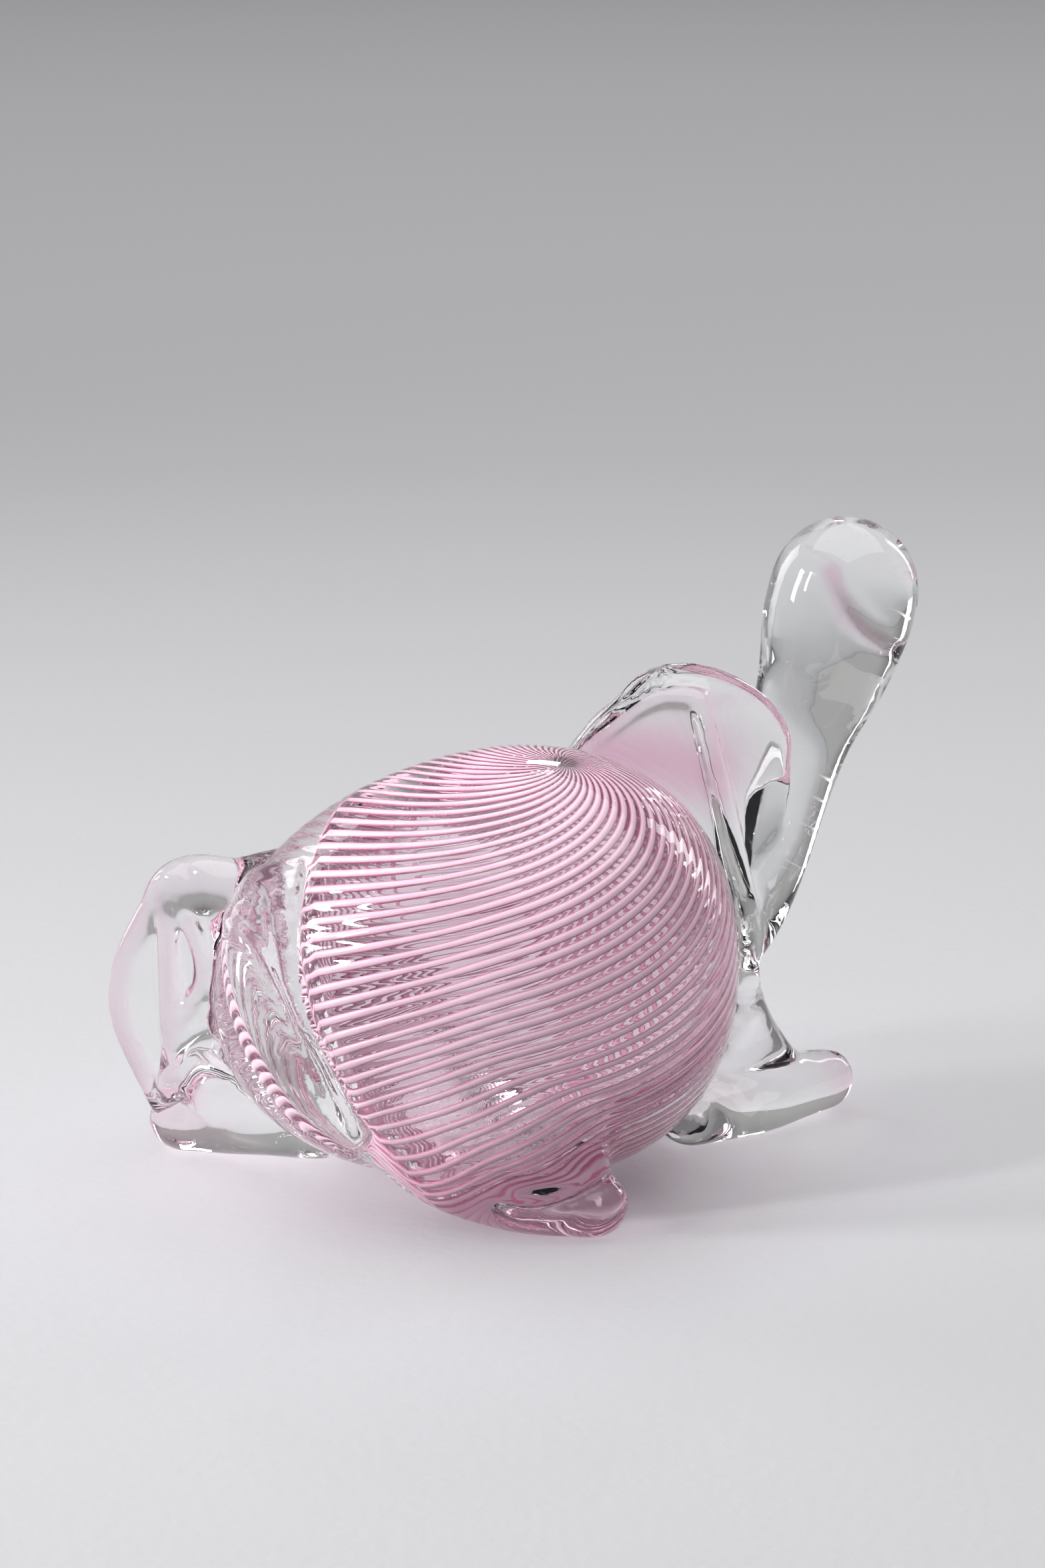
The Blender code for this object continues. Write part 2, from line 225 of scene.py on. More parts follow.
@dataclass(frozen=True)
class ShellForm:
    """The blown shell: a full egg, longer and drooping to the left, in millimetres.

    Attributes:
        centre: middle of the egg.
        right: reach towards the head.
        left: reach towards the tail.
        depth: half-depth.
        height: half-height.
        full_right: fullness of the right half, where 2 is an ellipse.
        full_left: fullness of the left half.
        droop: slope that the left half sags at.
        droop_start: distance over which the sag sets in.
        pole: direction of the filigree's upper pole.
    """

    centre: Triple = (0.0, 0.0, 39.0)
    right: float = 38.6
    left: float = 54.0
    depth: float = 38.0
    height: float = 38.2
    full_right: float = 2.25
    full_left: float = 2.1
    droop: float = 0.13
    droop_start: float = 8.0
    pole: Triple = (0.207, -0.061, 0.976)

    def turn(self) -> np.ndarray:
        """Return the turn that carries +Z to the filigree's pole and +X to its right."""
        pole = np.array(self.pole) / np.linalg.norm(self.pole)
        right = np.array((1.0, 0.0, 0.0)) - pole * pole[0]
        right /= np.linalg.norm(right)
        return np.stack((right, np.cross(pole, right), pole), axis=1)

    def sag(self, x: np.ndarray) -> np.ndarray:
        """Return how far the egg droops at each distance from its middle."""
        sunk = self.droop * (np.hypot(x, self.droop_start) - self.droop_start)
        return np.where(x < 0.0, sunk, 0.0)

    def points(self, directions: np.ndarray, inset: float = 0.0) -> np.ndarray:
        """Find the shell's surface along unit directions from its middle.

        Args:
            directions: one unit vector a row.
            inset: how far inside the outer surface to stop, in millimetres.

        Returns:
            One point a row, in millimetres, in the maker's frame.
        """
        x, y, z = directions.T
        reach = np.where(x > 0.0, self.right, self.left)
        full = np.where(x > 0.0, self.full_right, self.full_left)
        across = np.hypot(y / (self.depth - inset), z / (self.height - inset))
        along = np.abs(x) / (reach - inset)
        found = directions * ((along**full + across**full) ** (-1.0 / full))[:, None]
        found[:, 2] -= self.sag(found[:, 0])
        return found + np.array(self.centre)


@dataclass(frozen=True)
class Section:
    """One cross-section of a drawn bit of glass, in millimetres.

    Attributes:
        x: centre, towards the head.
        y: centre, away from the viewer.
        z: centre, over the table.
        wide: half-width along the bit's facing direction.
        deep: half-depth square to that.
    """

    x: float
    y: float
    z: float
    wide: float
    deep: float

    def row(self) -> np.ndarray:
        """Return the section's five numbers."""
        return np.array((self.x, self.y, self.z, self.wide, self.deep))


@dataclass
class DrawnBit:
    """A bit of hot glass, drawn out ring by ring from a small disc.

    Attributes:
        name: name of the object.
        facing: direction of the sections' wide half.
        sections: cross-sections from root to tip, with round ends beyond them.
        sides: corners of a ring.
        rings: rings along the bit.
        end_rings: rings that round each end off.
    """

    name: str
    facing: Facing
    sections: list[Section]
    sides: int = 14
    rings: int = 20
    end_rings: int = 4

    def at(self, along: float) -> np.ndarray:
        """Find the bit's section on a smooth curve through its sections (Catmull-Rom).

        Args:
            along: share of the length.

        Returns:
            The section's five numbers.
        """
        last = len(self.sections) - 1
        spot = min(max(along, 0.0), 1.0) * last
        index = min(int(spot), last - 1)
        part = spot - index
        before, start, end, after = (
            self.sections[min(max(index + k, 0), last)].row() for k in (-1, 0, 1, 2)
        )
        return 0.5 * (
            2.0 * start
            + (end - before) * part
            + (2.0 * before - 5.0 * start + 4.0 * end - after) * part**2
            + (3.0 * start - before - 3.0 * end + after) * part**3
        )

    def ring(self, number: int) -> tuple[Vector, Matrix, float, float]:
        """Find one ring of the bit.

        Args:
            number: ring, from 0 at the root to the last at the tip.

        Returns:
            Its centre, the frame with wide, deep and ahead as columns, and its two
            half-sizes, all in millimetres.
        """
        height = 2.0 * (number + 0.5) / (self.rings + 1) - 1.0
        straight = 1.0 - 2.0 * self.end_rings / self.rings
        along = 0.5 * (max(-1.0, min(1.0, height / straight)) + 1.0)
        bend = max(0.0, (abs(height) - straight) / (1.0 - straight)) * 0.5 * math.pi
        row = self.at(along)
        onward = self.at(along + LOOK_ALONG) - self.at(along - LOOK_ALONG)
        ahead = Vector(onward[:3]).normalized()
        side = Vector(self.facing.value)
        wide = (side - ahead * side.dot(ahead)).normalized()
        tip = ahead * math.copysign(0.5 * (row[3] + row[4]) * math.sin(bend), height)
        centre = Vector(row[:3]) + tip
        turned = Matrix((wide, ahead.cross(wide), ahead)).transposed()
        taper = max(math.cos(bend), LEAST_TAPER)
        return centre, turned, row[3] * taper, row[4] * taper

    def build(self, maker: MakerFrame) -> bpy.types.Object:
        """Model the bit: a disc, then an extrude, a turn and a squeeze for each ring.

        Args:
            maker: frame that the sections are written in.

        Returns:
            The closed bit of glass, smooth all over.
        """
        deselect_everything()
        centre, turned, wide, deep = self.ring(0)
        bpy.ops.mesh.primitive_circle_add(vertices=self.sides, radius=MM, fill_type="NGON")
        item = bpy.context.object
        item.name = item.data.name = self.name
        spot = maker.place(*centre)
        places = get_places(item.data) @ np.diag((wide, deep, 1.0)) @ np.array(turned).T
        set_places(item.data, places + np.array(spot))
        bpy.ops.object.mode_set(mode="EDIT")
        bpy.ops.mesh.select_all(action="SELECT")
        for number in range(1, self.rings + 1):
            onward, onward_turn, onward_wide, onward_deep = self.ring(number)
            onward_spot = maker.place(*onward)
            bpy.ops.mesh.extrude_region_move(
                TRANSFORM_OT_translate={"value": onward_spot - spot}
            )
            angles = (onward_turn @ turned.transposed()).to_euler("XYZ")
            for axis, angle in zip("XYZ", angles):
                if abs(angle) > LEAST_TURN:
                    bpy.ops.transform.rotate(
                        value=-angle, orient_axis=axis, center_override=onward_spot
                    )
            bpy.ops.transform.resize(
                value=(onward_wide / wide, onward_deep / deep, 1.0),
                orient_type="GLOBAL",
                orient_matrix=onward_turn,
                orient_matrix_type="GLOBAL",
                center_override=onward_spot,
            )
            spot, turned, wide, deep = onward_spot, onward_turn, onward_wide, onward_deep
        bpy.ops.mesh.select_all(action="SELECT")
        bpy.ops.mesh.normals_make_consistent(inside=False)
        bpy.ops.object.mode_set(mode="OBJECT")
        round_off = item.modifiers.new("Round", "SUBSURF")
        round_off.levels = round_off.render_levels = ROUNDING
        apply_modifiers(item)
        return item


NECK_AND_HEAD = DrawnBit(
    "neck_draw",
    Facing.RIGHT,
    [
        Section(38.0, 17.0, 31.0, 3.0, 3.0),
        Section(41.9, 24.0, 39.5, 6.2, 6.0),
        Section(44.4, 31.0, 48.0, 8.2, 8.2),
        Section(48.0, 37.8, 58.9, 8.9, 8.6),
        Section(51.8, 42.4, 70.0, 9.9, 8.8),
        Section(55.6, 43.6, 80.5, 12.2, 11.2),
        Section(58.0, 46.0, 89.0, 13.9, 12.6),
        Section(59.9, 47.2, 96.0, 14.1, 12.8),
    ],
    sides=20,
    rings=28,
)
HEAD_TUCK = DrawnBit(
    "head_tuck",
    Facing.RIGHT,
    [
        Section(62.5, 43.5, 94.0, 9.0, 9.0),
        Section(63.8, 43.6, 88.4, 7.6, 8.2),
        Section(63.0, 44.2, 83.0, 4.6, 5.0),
    ],
    rings=14,
)
HOOD = DrawnBit(
    "hood_press",
    Facing.HOOD,
    [
        Section(22.4, 24.5, 53.4, 22.0, 7.0),
        Section(27.7, 25.5, 62.4, 21.4, 6.4),
        Section(31.2, 26.0, 69.4, 19.8, 5.6),
        Section(33.6, 26.5, 74.8, 17.2, 5.0),
    ],
    sides=20,
)
HOOD_RIDGE = DrawnBit(
    "hood_ridge",
    Facing.RIGHT,
    [
        Section(32.2, 21.6, 81.0, 2.0, 2.4),
        Section(33.8, 19.4, 74.0, 2.1, 3.0),
        Section(36.4, 18.4, 64.0, 2.2, 3.0),
        Section(39.2, 18.2, 52.0, 2.2, 3.0),
        Section(41.6, 18.4, 43.0, 2.0, 2.4),
    ],
    sides=10,
)
HOOD_BROW = DrawnBit(
    "hood_brow",
    Facing.NEAR,
    [
        Section(11.0, 21.6, 71.8, 1.6, 1.6),
        Section(16.3, 22.0, 75.8, 1.8, 1.8),
        Section(20.6, 22.2, 79.0, 1.9, 1.9),
        Section(25.4, 22.2, 81.6, 1.9, 1.9),
        Section(32.2, 21.6, 81.4, 1.9, 1.9),
    ],
    sides=10,
)
NEAR_SOLE = DrawnBit(
    "near_sole",
    Facing.NEAR,
    [
        Section(-16.0, -18.0, 10.6, 9.4, 8.6),
        Section(-8.4, -24.0, 9.4, 10.0, 9.0),
        Section(2.0, -28.4, 7.4, 9.4, 8.2),
        Section(12.5, -30.6, 5.4, 6.4, 6.2),
    ],
)
NEAR_ANKLE = DrawnBit(
    "near_ankle",
    Facing.NEAR,
    [
        Section(-8.0, -24.0, 13.4, 7.4, 6.6),
        Section(1.0, -28.0, 12.8, 7.6, 6.4),
        Section(9.8, -29.8, 12.4, 6.2, 5.4),
    ],
    rings=14,
)
RIGHT_SOLE = DrawnBit(
    "right_sole",
    Facing.NEAR,
    [
        Section(31.0, 14.0, 5.4, 7.0, 6.2),
        Section(43.0, 21.0, 6.4, 8.4, 7.2),
        Section(51.0, 26.0, 6.6, 6.4, 6.6),
        Section(57.0, 30.4, 6.2, 5.0, 6.0),
    ],
)
RIGHT_LIMB = DrawnBit(
    "right_limb",
    Facing.RIGHT,
    [
        Section(41.6, 17.0, 41.0, 1.7, 1.8),
        Section(41.4, 17.2, 31.0, 2.2, 2.4),
        Section(41.2, 18.4, 24.0, 4.2, 3.6),
        Section(40.8, 20.2, 17.0, 8.6, 4.8),
        Section(40.6, 21.8, 10.0, 13.0, 6.2),
    ],
    sides=20,
)
RIGHT_INSTEP = DrawnBit(
    "right_instep",
    Facing.RIGHT,
    [
        Section(43.6, 20.6, 22.0, 2.0, 2.6),
        Section(45.6, 21.6, 16.6, 3.0, 3.4),
        Section(49.0, 23.2, 11.2, 3.6, 4.0),
        Section(53.4, 26.0, 8.4, 4.0, 4.4),
        Section(57.0, 29.4, 6.8, 4.0, 4.4),
    ],
)
LEFT_FOOT = DrawnBit(
    "left_sole",
    Facing.NEAR,
    [
        Section(-36.0, 5.0, 8.0, 8.0, 8.0),
        Section(-45.0, 8.6, 7.6, 8.8, 8.0),
        Section(-53.0, 10.6, 6.8, 8.8, 7.6),
        Section(-60.6, 11.2, 5.8, 7.2, 6.4),
    ],
)
LEFT_ANKLE = DrawnBit(
    "left_ankle",
    Facing.NEAR,
    [
        Section(-58.6, 6.0, 17.0, 4.0, 4.4),
        Section(-55.0, 5.0, 14.4, 6.8, 6.8),
        Section(-50.0, 4.6, 12.0, 8.0, 7.6),
        Section(-46.0, 4.6, 10.0, 8.0, 7.0),
    ],
    rings=16,
)
FAR_FOOT = DrawnBit(
    "far_sole",
    Facing.RIGHT,
    [
        Section(-6.0, 20.0, 7.6, 8.0, 8.2),
        Section(-10.0, 28.0, 6.4, 8.0, 7.2),
        Section(-15.0, 35.0, 5.0, 6.0, 5.8),
    ],
)
TAIL_WEB = DrawnBit(
    "tail_web",
    Facing.UP,
    [
        Section(-44.0, 2.0, 34.0, 18.0, 12.0),
        Section(-50.0, 3.0, 32.5, 17.5, 7.5),
        Section(-55.0, 4.2, 32.0, 16.5, 4.2),
        Section(-59.0, 4.8, 31.5, 15.5, 3.0),
        Section(-62.0, 5.2, 31.0, 14.5, 2.6),
    ],
    sides=24,
    rings=16,
    end_rings=2,
)
TAIL_LOBE = DrawnBit(
    "tail_lobe",
    Facing.NEAR,
    [
        Section(-36.0, 5.0, 52.5, 6.0, 5.6),
        Section(-43.0, 3.4, 52.8, 6.4, 5.8),
        Section(-50.0, 3.0, 51.6, 6.0, 5.4),
        Section(-57.0, 3.6, 52.4, 5.8, 5.4),
        Section(-61.6, 4.4, 50.6, 4.8, 4.8),
        Section(-64.0, 5.0, 47.6, 3.4, 3.4),
    ],
    rings=24,
)
TAIL_PANE = DrawnBit(
    "tail_pane",
    Facing.RIGHT,
    [
        Section(-64.6, 5.4, 46.0, 2.2, 1.7),
        Section(-67.0, 5.9, 40.0, 4.4, 1.7),
        Section(-68.0, 6.4, 32.0, 5.2, 1.7),
        Section(-67.2, 7.0, 24.0, 4.6, 1.7),
        Section(-65.0, 7.8, 15.0, 2.4, 1.9),
    ],
    sides=20,
)
TAIL_RIM = DrawnBit(
    "tail_rim",
    Facing.RIGHT,
    [
        Section(-63.6, 4.6, 49.6, 2.8, 3.2),
        Section(-66.2, 5.2, 45.6, 2.4, 3.0),
        Section(-69.9, 6.0, 38.6, 2.2, 2.9),
        Section(-71.5, 6.6, 31.0, 2.2, 2.9),
        Section(-70.9, 7.2, 24.6, 2.2, 2.9),
        Section(-68.2, 7.8, 17.6, 2.2, 2.9),
        Section(-64.6, 8.4, 10.0, 2.6, 3.0),
    ],
    sides=12,
    rings=26,
)
TAIL_ROD = DrawnBit(
    "tail_rod",
    Facing.RIGHT,
    [
        Section(-62.4, 2.6, 50.0, 2.2, 2.6),
        Section(-62.3, 1.0, 43.0, 1.9, 2.6),
        Section(-62.2, 0.8, 35.0, 1.8, 2.6),
        Section(-62.2, 1.2, 28.0, 1.8, 2.6),
        Section(-61.8, 2.6, 21.0, 1.9, 2.6),
        Section(-63.2, 5.2, 13.0, 2.4, 2.8),
    ],
    sides=12,
    rings=24,
)
WEB_FOLD = DrawnBit(
    "web_fold",
    Facing.RIGHT,
    [
        Section(-61.6, 0.6, 52.0, 1.6, 2.0),
        Section(-58.4, -0.6, 46.6, 1.7, 2.4),
        Section(-56.0, -1.2, 40.6, 1.8, 2.8),
        Section(-56.2, -0.8, 35.2, 1.8, 2.8),
        Section(-58.6, 0.0, 30.4, 1.7, 2.4),
        Section(-61.4, 1.0, 26.4, 1.4, 2.0),
    ],
    sides=10,
)
WEB_PLEAT = DrawnBit(
    "web_pleat",
    Facing.RIGHT,
    [
        Section(-61.0, 1.4, 22.6, 1.4, 2.0),
        Section(-58.0, 0.6, 26.2, 1.6, 2.6),
        Section(-54.6, -1.0, 28.6, 1.7, 2.8),
        Section(-51.8, -4.2, 28.0, 1.6, 2.6),
    ],
    sides=10,
    rings=14,
)
PANE_CREASE = DrawnBit(
    "pane_crease",
    Facing.RIGHT,
    [
        Section(-69.4, 4.6, 39.0, 1.0, 1.2),
        Section(-67.2, 4.8, 35.0, 1.2, 1.4),
        Section(-64.6, 4.6, 29.4, 1.3, 1.4),
        Section(-62.8, 3.6, 26.6, 1.3, 1.4),
    ],
    sides=8,
    rings=14,
)
SIDE_LEAF = DrawnBit(
    "leaf_lay",
    Facing.LEAF,
    [
        Section(-43.3, -6.5, 54.4, 6.2, 4.6),
        Section(-44.9, -16.9, 50.2, 6.8, 5.8),
        Section(-43.8, -24.2, 41.2, 6.6, 6.4),
        Section(-40.2, -27.9, 32.0, 6.4, 6.3),
        Section(-35.0, -28.9, 23.4, 5.6, 5.4),
        Section(-29.9, -27.2, 17.0, 3.6, 3.6),
    ],
    sides=16,
    rings=26,
)
SHELL_BITS = (
    NECK_AND_HEAD,
    HEAD_TUCK,
    HOOD,
    HOOD_RIDGE,
    HOOD_BROW,
    NEAR_SOLE,
    NEAR_ANKLE,
    RIGHT_SOLE,
    RIGHT_LIMB,
    RIGHT_INSTEP,
    LEFT_FOOT,
    LEFT_ANKLE,
    FAR_FOOT,
    TAIL_WEB,
    TAIL_LOBE,
    TAIL_PANE,
    TAIL_RIM,
    TAIL_ROD,
    WEB_FOLD,
    WEB_PLEAT,
    PANE_CREASE,
    SIDE_LEAF,
)


@dataclass(frozen=True)
class ToolMark:
    """A ridge or a groove that a tool drew in the soft glass.

    Attributes:
        path: points along it, in millimetres, near the surface.
        reach: half-width in millimetres.
        lift: height in millimetres, less than nothing for a groove.
    """

    path: tuple[Triple, ...]
    reach: float
    lift: float

    def press(self, skin: bpy.types.Object, maker: MakerFrame) -> None:
        """Raise or sink the skin along the path, fading out at both ends.

        Args:
            skin: skin to draw in.
            maker: frame that the path is written in.
        """
        knots = np.array([maker.place(*point) for point in self.path])
        shares, line = traced(knots, MARK_STEPS)
        line = np.array([skin.closest_point_on_mesh(Vector(point))[1] for point in line])
        places = get_places(skin.data)
        normals = np.empty(len(places) * 3, np.float32)
        skin.data.vertex_normals.foreach_get("vector", normals)
        near = np.full(len(places), np.inf)
        fade = np.zeros(len(places))
        for point, share in zip(line, shares):
            away = np.linalg.norm(places - point, axis=1)
            closer = away < near
            near[closer] = away[closer]
            fade[closer] = min(1.0, MARK_FADE * min(share, 1.0 - share))
        height = np.clip(1.0 - near / (self.reach * MM), 0.0, 1.0) ** MARK_EDGE * fade
        push = (self.lift * MM * height)[:, None] * normals.reshape(-1, 3)
        set_places(skin.data, places + push)


TOOL_MARKS = (
    # Fold of the head and its lip.
    ToolMark(
        (
            (56.4, 36.4, 101.2),
            (57.4, 34.9, 97.3),
            (59.0, 34.2, 93.8),
            (62.2, 34.4, 90.3),
            (66.6, 36.4, 87.3),
            (70.0, 39.5, 85.6),
            (71.0, 44.0, 85.0),
        ),
        2.2,
        -1.7,
    ),
    ToolMark(((58.8, 34.6, 100.0), (60.8, 33.6, 96.0), (64.4, 34.2, 92.4), (68.8, 37.0, 89.2)), 2.6, 0.8),
    # Hood: ridge and brow.
    ToolMark(
        ((32.6, 20.6, 81.0), (34.0, 17.4, 74.0), (36.5, 15.7, 63.5), (39.3, 15.6, 52.0), (41.8, 16.4, 42.4)),
        2.0,
        1.0,
    ),
    ToolMark(((13.0, 20.4, 73.4), (20.6, 20.6, 79.2), (26.0, 20.6, 81.6), (32.6, 20.6, 81.2)), 1.8, 0.8),
    # Right foot: sharp edge of the web beside the shell.
    ToolMark(((43.6, 16.0, 26.6), (41.1, 15.0, 21.4), (34.8, 13.0, 12.0), (28.4, 11.0, 4.6)), 1.8, 1.0),
    # Leaf beside the tail: ridge, hollowed facet and the seam with the shell.
    ToolMark(
        (
            (-51.5, -8.0, 53.0),
            (-48.4, -19.3, 51.3),
            (-45.0, -24.4, 48.6),
            (-41.7, -28.5, 43.7),
            (-38.3, -31.0, 37.4),
            (-35.7, -31.8, 33.0),
            (-33.2, -32.3, 27.0),
            (-29.4, -30.6, 20.0),
        ),
        2.0,
        1.1,
    ),
    ToolMark(
        (
            (-44.0, -12.0, 57.0),
            (-41.8, -22.0, 52.6),
            (-39.6, -27.4, 45.0),
            (-36.8, -30.4, 38.0),
            (-33.8, -31.4, 31.0),
        ),
        3.4,
        -1.1,
    ),
    ToolMark(
        (
            (-37.6, -9.0, 61.5),
            (-37.0, -14.9, 59.6),
            (-38.0, -23.7, 49.6),
            (-36.7, -27.6, 43.4),
            (-35.2, -29.5, 37.4),
            (-32.1, -30.9, 31.5),
            (-29.4, -31.0, 26.1),
            (-26.1, -28.4, 18.1),
        ),
        2.0,
        -1.3,
    ),
    # Tail: fold under the lobe, and the drawn knob with the groove beside it.
    ToolMark(((-60.0, 3.0, 56.7), (-55.9, -2.0, 53.3), (-52.6, -2.2, 45.0), (-50.6, -6.0, 40.0)), 2.0, -1.0),
    ToolMark(((-65.0, 2.0, 51.6), (-62.8, 2.1, 54.8), (-60.5, -0.7, 53.6)), 1.4, 0.8),
    ToolMark(((-64.2, 1.6, 49.6), (-62.2, 0.6, 52.4), (-60.4, -1.0, 50.6)), 1.3, -0.8),
    # Web between the rod and the shell: the dips beside its two folds.
    ToolMark(((-58.6, 1.0, 21.0), (-55.0, 0.0, 24.2), (-52.0, -3.0, 23.4)), 2.6, -1.4),
    ToolMark(((-59.2, 0.6, 41.0), (-58.4, 0.6, 38.0), (-58.6, 0.8, 34.0)), 2.0, -1.2),
    # Left foot: drawn heel and the swirl over the toe.
    ToolMark(((-63.2, 3.6, 13.0), (-61.7, 3.1, 14.2), (-59.4, 1.3, 13.8)), 1.4, 0.7),
    ToolMark(((-62.4, 3.6, 10.8), (-60.4, 2.6, 11.8), (-57.6, 1.0, 11.2)), 1.4, -0.7),
    ToolMark(((-64.8, 6.2, 5.7), (-60.2, 4.6, 3.8), (-53.7, 1.5, 6.2), (-49.7, -3.0, 11.7)), 2.0, -0.9),
    # Near foot: crease under the ankle.
    ToolMark(
        ((-4.4, -34.0, 8.6), (0.0, -35.5, 6.9), (4.0, -36.1, 7.0), (9.0, -35.9, 8.1), (14.4, -33.0, 9.8)),
        2.2,
        -1.5,
    ),
)


@dataclass(frozen=True)
class WallPull:
    """A place where the soft wall was pulled out with its canes, in millimetres.

    Attributes:
        root: middle of the pulled place on the shell.
        reach: how far from the root the pull dies away.
        pull: how far the wall moved at the root.
    """

    root: Triple
    reach: float
    pull: Triple

    def moved(self, points: np.ndarray) -> np.ndarray:
        """Carry points along with the wall.

        Args:
            points: one point a row, in millimetres.

        Returns:
            The points where the pull took them.
        """
        away = np.linalg.norm(points - np.array(self.root), axis=1) / self.reach
        share = np.clip(1.0 - away**2, 0.0, 1.0) ** 2
        return points + share[:, None] * np.array(self.pull)


@dataclass(frozen=True)
class TailPinch:
    """The crease behind which the wall closed in when the tail was drawn, in millimetres.

    Attributes:
        crease: a point of the crease.
        across: direction from the tail over the crease, square to it.
        heart: middle that the wall closed in on.
        share: how much of its distance from the heart the wall lost.
        run: width over which it turns in.
    """

    crease: Triple = (-36.7, -25.0, 48.0)
    across: Triple = (0.821, -0.443, 0.36)
    heart: Triple = (-24.0, 2.0, 24.0)
    share: float = 0.48
    run: float = 8.0

    def lost(self, points: np.ndarray) -> np.ndarray:
        """Find how much closer to the heart each point came.

        Args:
            points: one point a row, in millimetres, before the wall closed in.

        Returns:
            The share of its distance that each point lost.
        """
        behind = (np.array(self.crease) - points) @ np.array(self.across) / self.run
        behind = np.clip(behind, 0.0, 1.0)
        return self.share * behind * (2.0 - behind)

    def moved(self, points: np.ndarray) -> np.ndarray:
        """Carry points along with the wall."""
        return points + self.lost(points)[:, None] * (np.array(self.heart) - points)


@dataclass(frozen=True)
class BlushAndPaintedRefraction:
    """A place painted pink, in millimetres: pink glass drawn into the clear, and at the hood's corner a
    painted refraction of the pink canes behind it.

    Attributes:
        path: points along its middle.
        reach: distance at which it has faded out.
        share: strength at its middle.
    """

    path: tuple[Triple, ...]
    reach: float
    share: float

    def over(self, points: np.ndarray) -> np.ndarray:
        """Find how strong the blush is at each point.

        Args:
            points: one point a row, in millimetres.

        Returns:
            One strength for each point.
        """
        _, line = traced(np.array(self.path), BLUSH_STEPS)
        near = np.min([np.linalg.norm(points - point, axis=1) for point in line], axis=0)
        away = np.clip(near / self.reach, 0.0, 1.0)
        return self.share * (1.0 - away * away * (3.0 - 2.0 * away))


# Pink glass drawn out into the clear, and at the hood a painted refraction of the pink canes.
BLUSHES_AND_PAINTED_REFRACTION = (
    # Near foot, all of it.
    BlushAndPaintedRefraction(((-14.0, -26.0, 8.0), (0.0, -32.0, 6.0), (12.0, -33.0, 6.0)), 16.0, 0.85),
    # Left foot and its heel.
    BlushAndPaintedRefraction(((-64.0, 8.0, 6.0), (-52.0, 4.0, 6.0)), 11.0, 0.6),
    BlushAndPaintedRefraction(((-63.0, 3.0, 13.0), (-58.0, 1.0, 14.0)), 5.0, 0.8),
    # Tail: rim of the window, rod, fold of the web and lobe.
    BlushAndPaintedRefraction(
        (
            (-64.0, 5.0, 50.0),
            (-67.6, 5.5, 46.4),
            (-71.8, 6.5, 38.8),
            (-73.4, 7.0, 31.0),
            (-72.6, 7.5, 24.6),
            (-70.0, 8.0, 17.6),
            (-66.0, 8.4, 10.0),
        ),
        5.0,
        0.9,
    ),
    BlushAndPaintedRefraction(((-62.4, 1.0, 50.0), (-62.2, -0.6, 38.0), (-62.2, 0.0, 28.0), (-62.6, 2.6, 14.0)), 3.4, 0.8),
    BlushAndPaintedRefraction(((-58.4, -2.0, 46.6), (-56.0, -3.0, 38.0), (-60.0, 0.0, 27.4)), 2.4, 0.6),
    BlushAndPaintedRefraction(((-60.0, 0.0, 54.0), (-52.0, 0.0, 52.0), (-46.0, -4.0, 52.0)), 8.0, 0.35),
    # Leaf: along its ridge and down its inner flank.
    BlushAndPaintedRefraction(((-50.0, -12.0, 48.0), (-46.0, -22.0, 42.0), (-41.0, -28.0, 33.0)), 8.0, 0.4),
    # Hood: painted refraction of the pink canes at its corner over the shell, from in front and from behind,
    # and pink along the ridge.
    BlushAndPaintedRefraction(((16.0, 19.0, 70.0), (26.0, 18.0, 68.0), (33.0, 17.0, 66.0)), 10.0, 1.0),
    BlushAndPaintedRefraction(((16.0, 29.0, 70.0), (26.0, 31.0, 70.0), (34.0, 32.0, 68.0)), 12.0, 1.0),
    BlushAndPaintedRefraction(((13.0, 21.0, 74.0), (26.0, 21.0, 81.0), (33.0, 21.0, 81.0), (40.0, 26.0, 80.0)), 3.0, 0.45),
    # Head: the fold.
    BlushAndPaintedRefraction(((56.4, 36.4, 101.2), (59.0, 34.2, 93.8), (66.6, 36.4, 87.3), (71.0, 42.0, 85.0)), 3.0, 1.0),
    # Right foot: toe and heel.
    BlushAndPaintedRefraction(((57.0, 30.0, 7.0), (60.0, 31.0, 5.0)), 8.0, 0.8),
    BlushAndPaintedRefraction(((30.0, 12.0, 6.0), (36.0, 14.0, 8.0)), 8.0, 0.5),
)
NEAR_FOOT_PULLS = (
    WallPull((-5.0, -24.0, 13.0), 24.0, (5.0, -6.0, -3.5)),
    WallPull((-14.0, -26.0, 9.0), 15.0, (0.0, -2.5, -2.5)),
)
TAIL_PINCH = TailPinch()


def pulled(points: np.ndarray) -> np.ndarray:
    """Carry points of the blown wall along to the near foot.

    Args:
        points: one point a row, in millimetres.

    Returns:
        The points where the foot's two pulls took them.
    """
    for pull in NEAR_FOOT_PULLS:
        points = pull.moved(points)
    return points


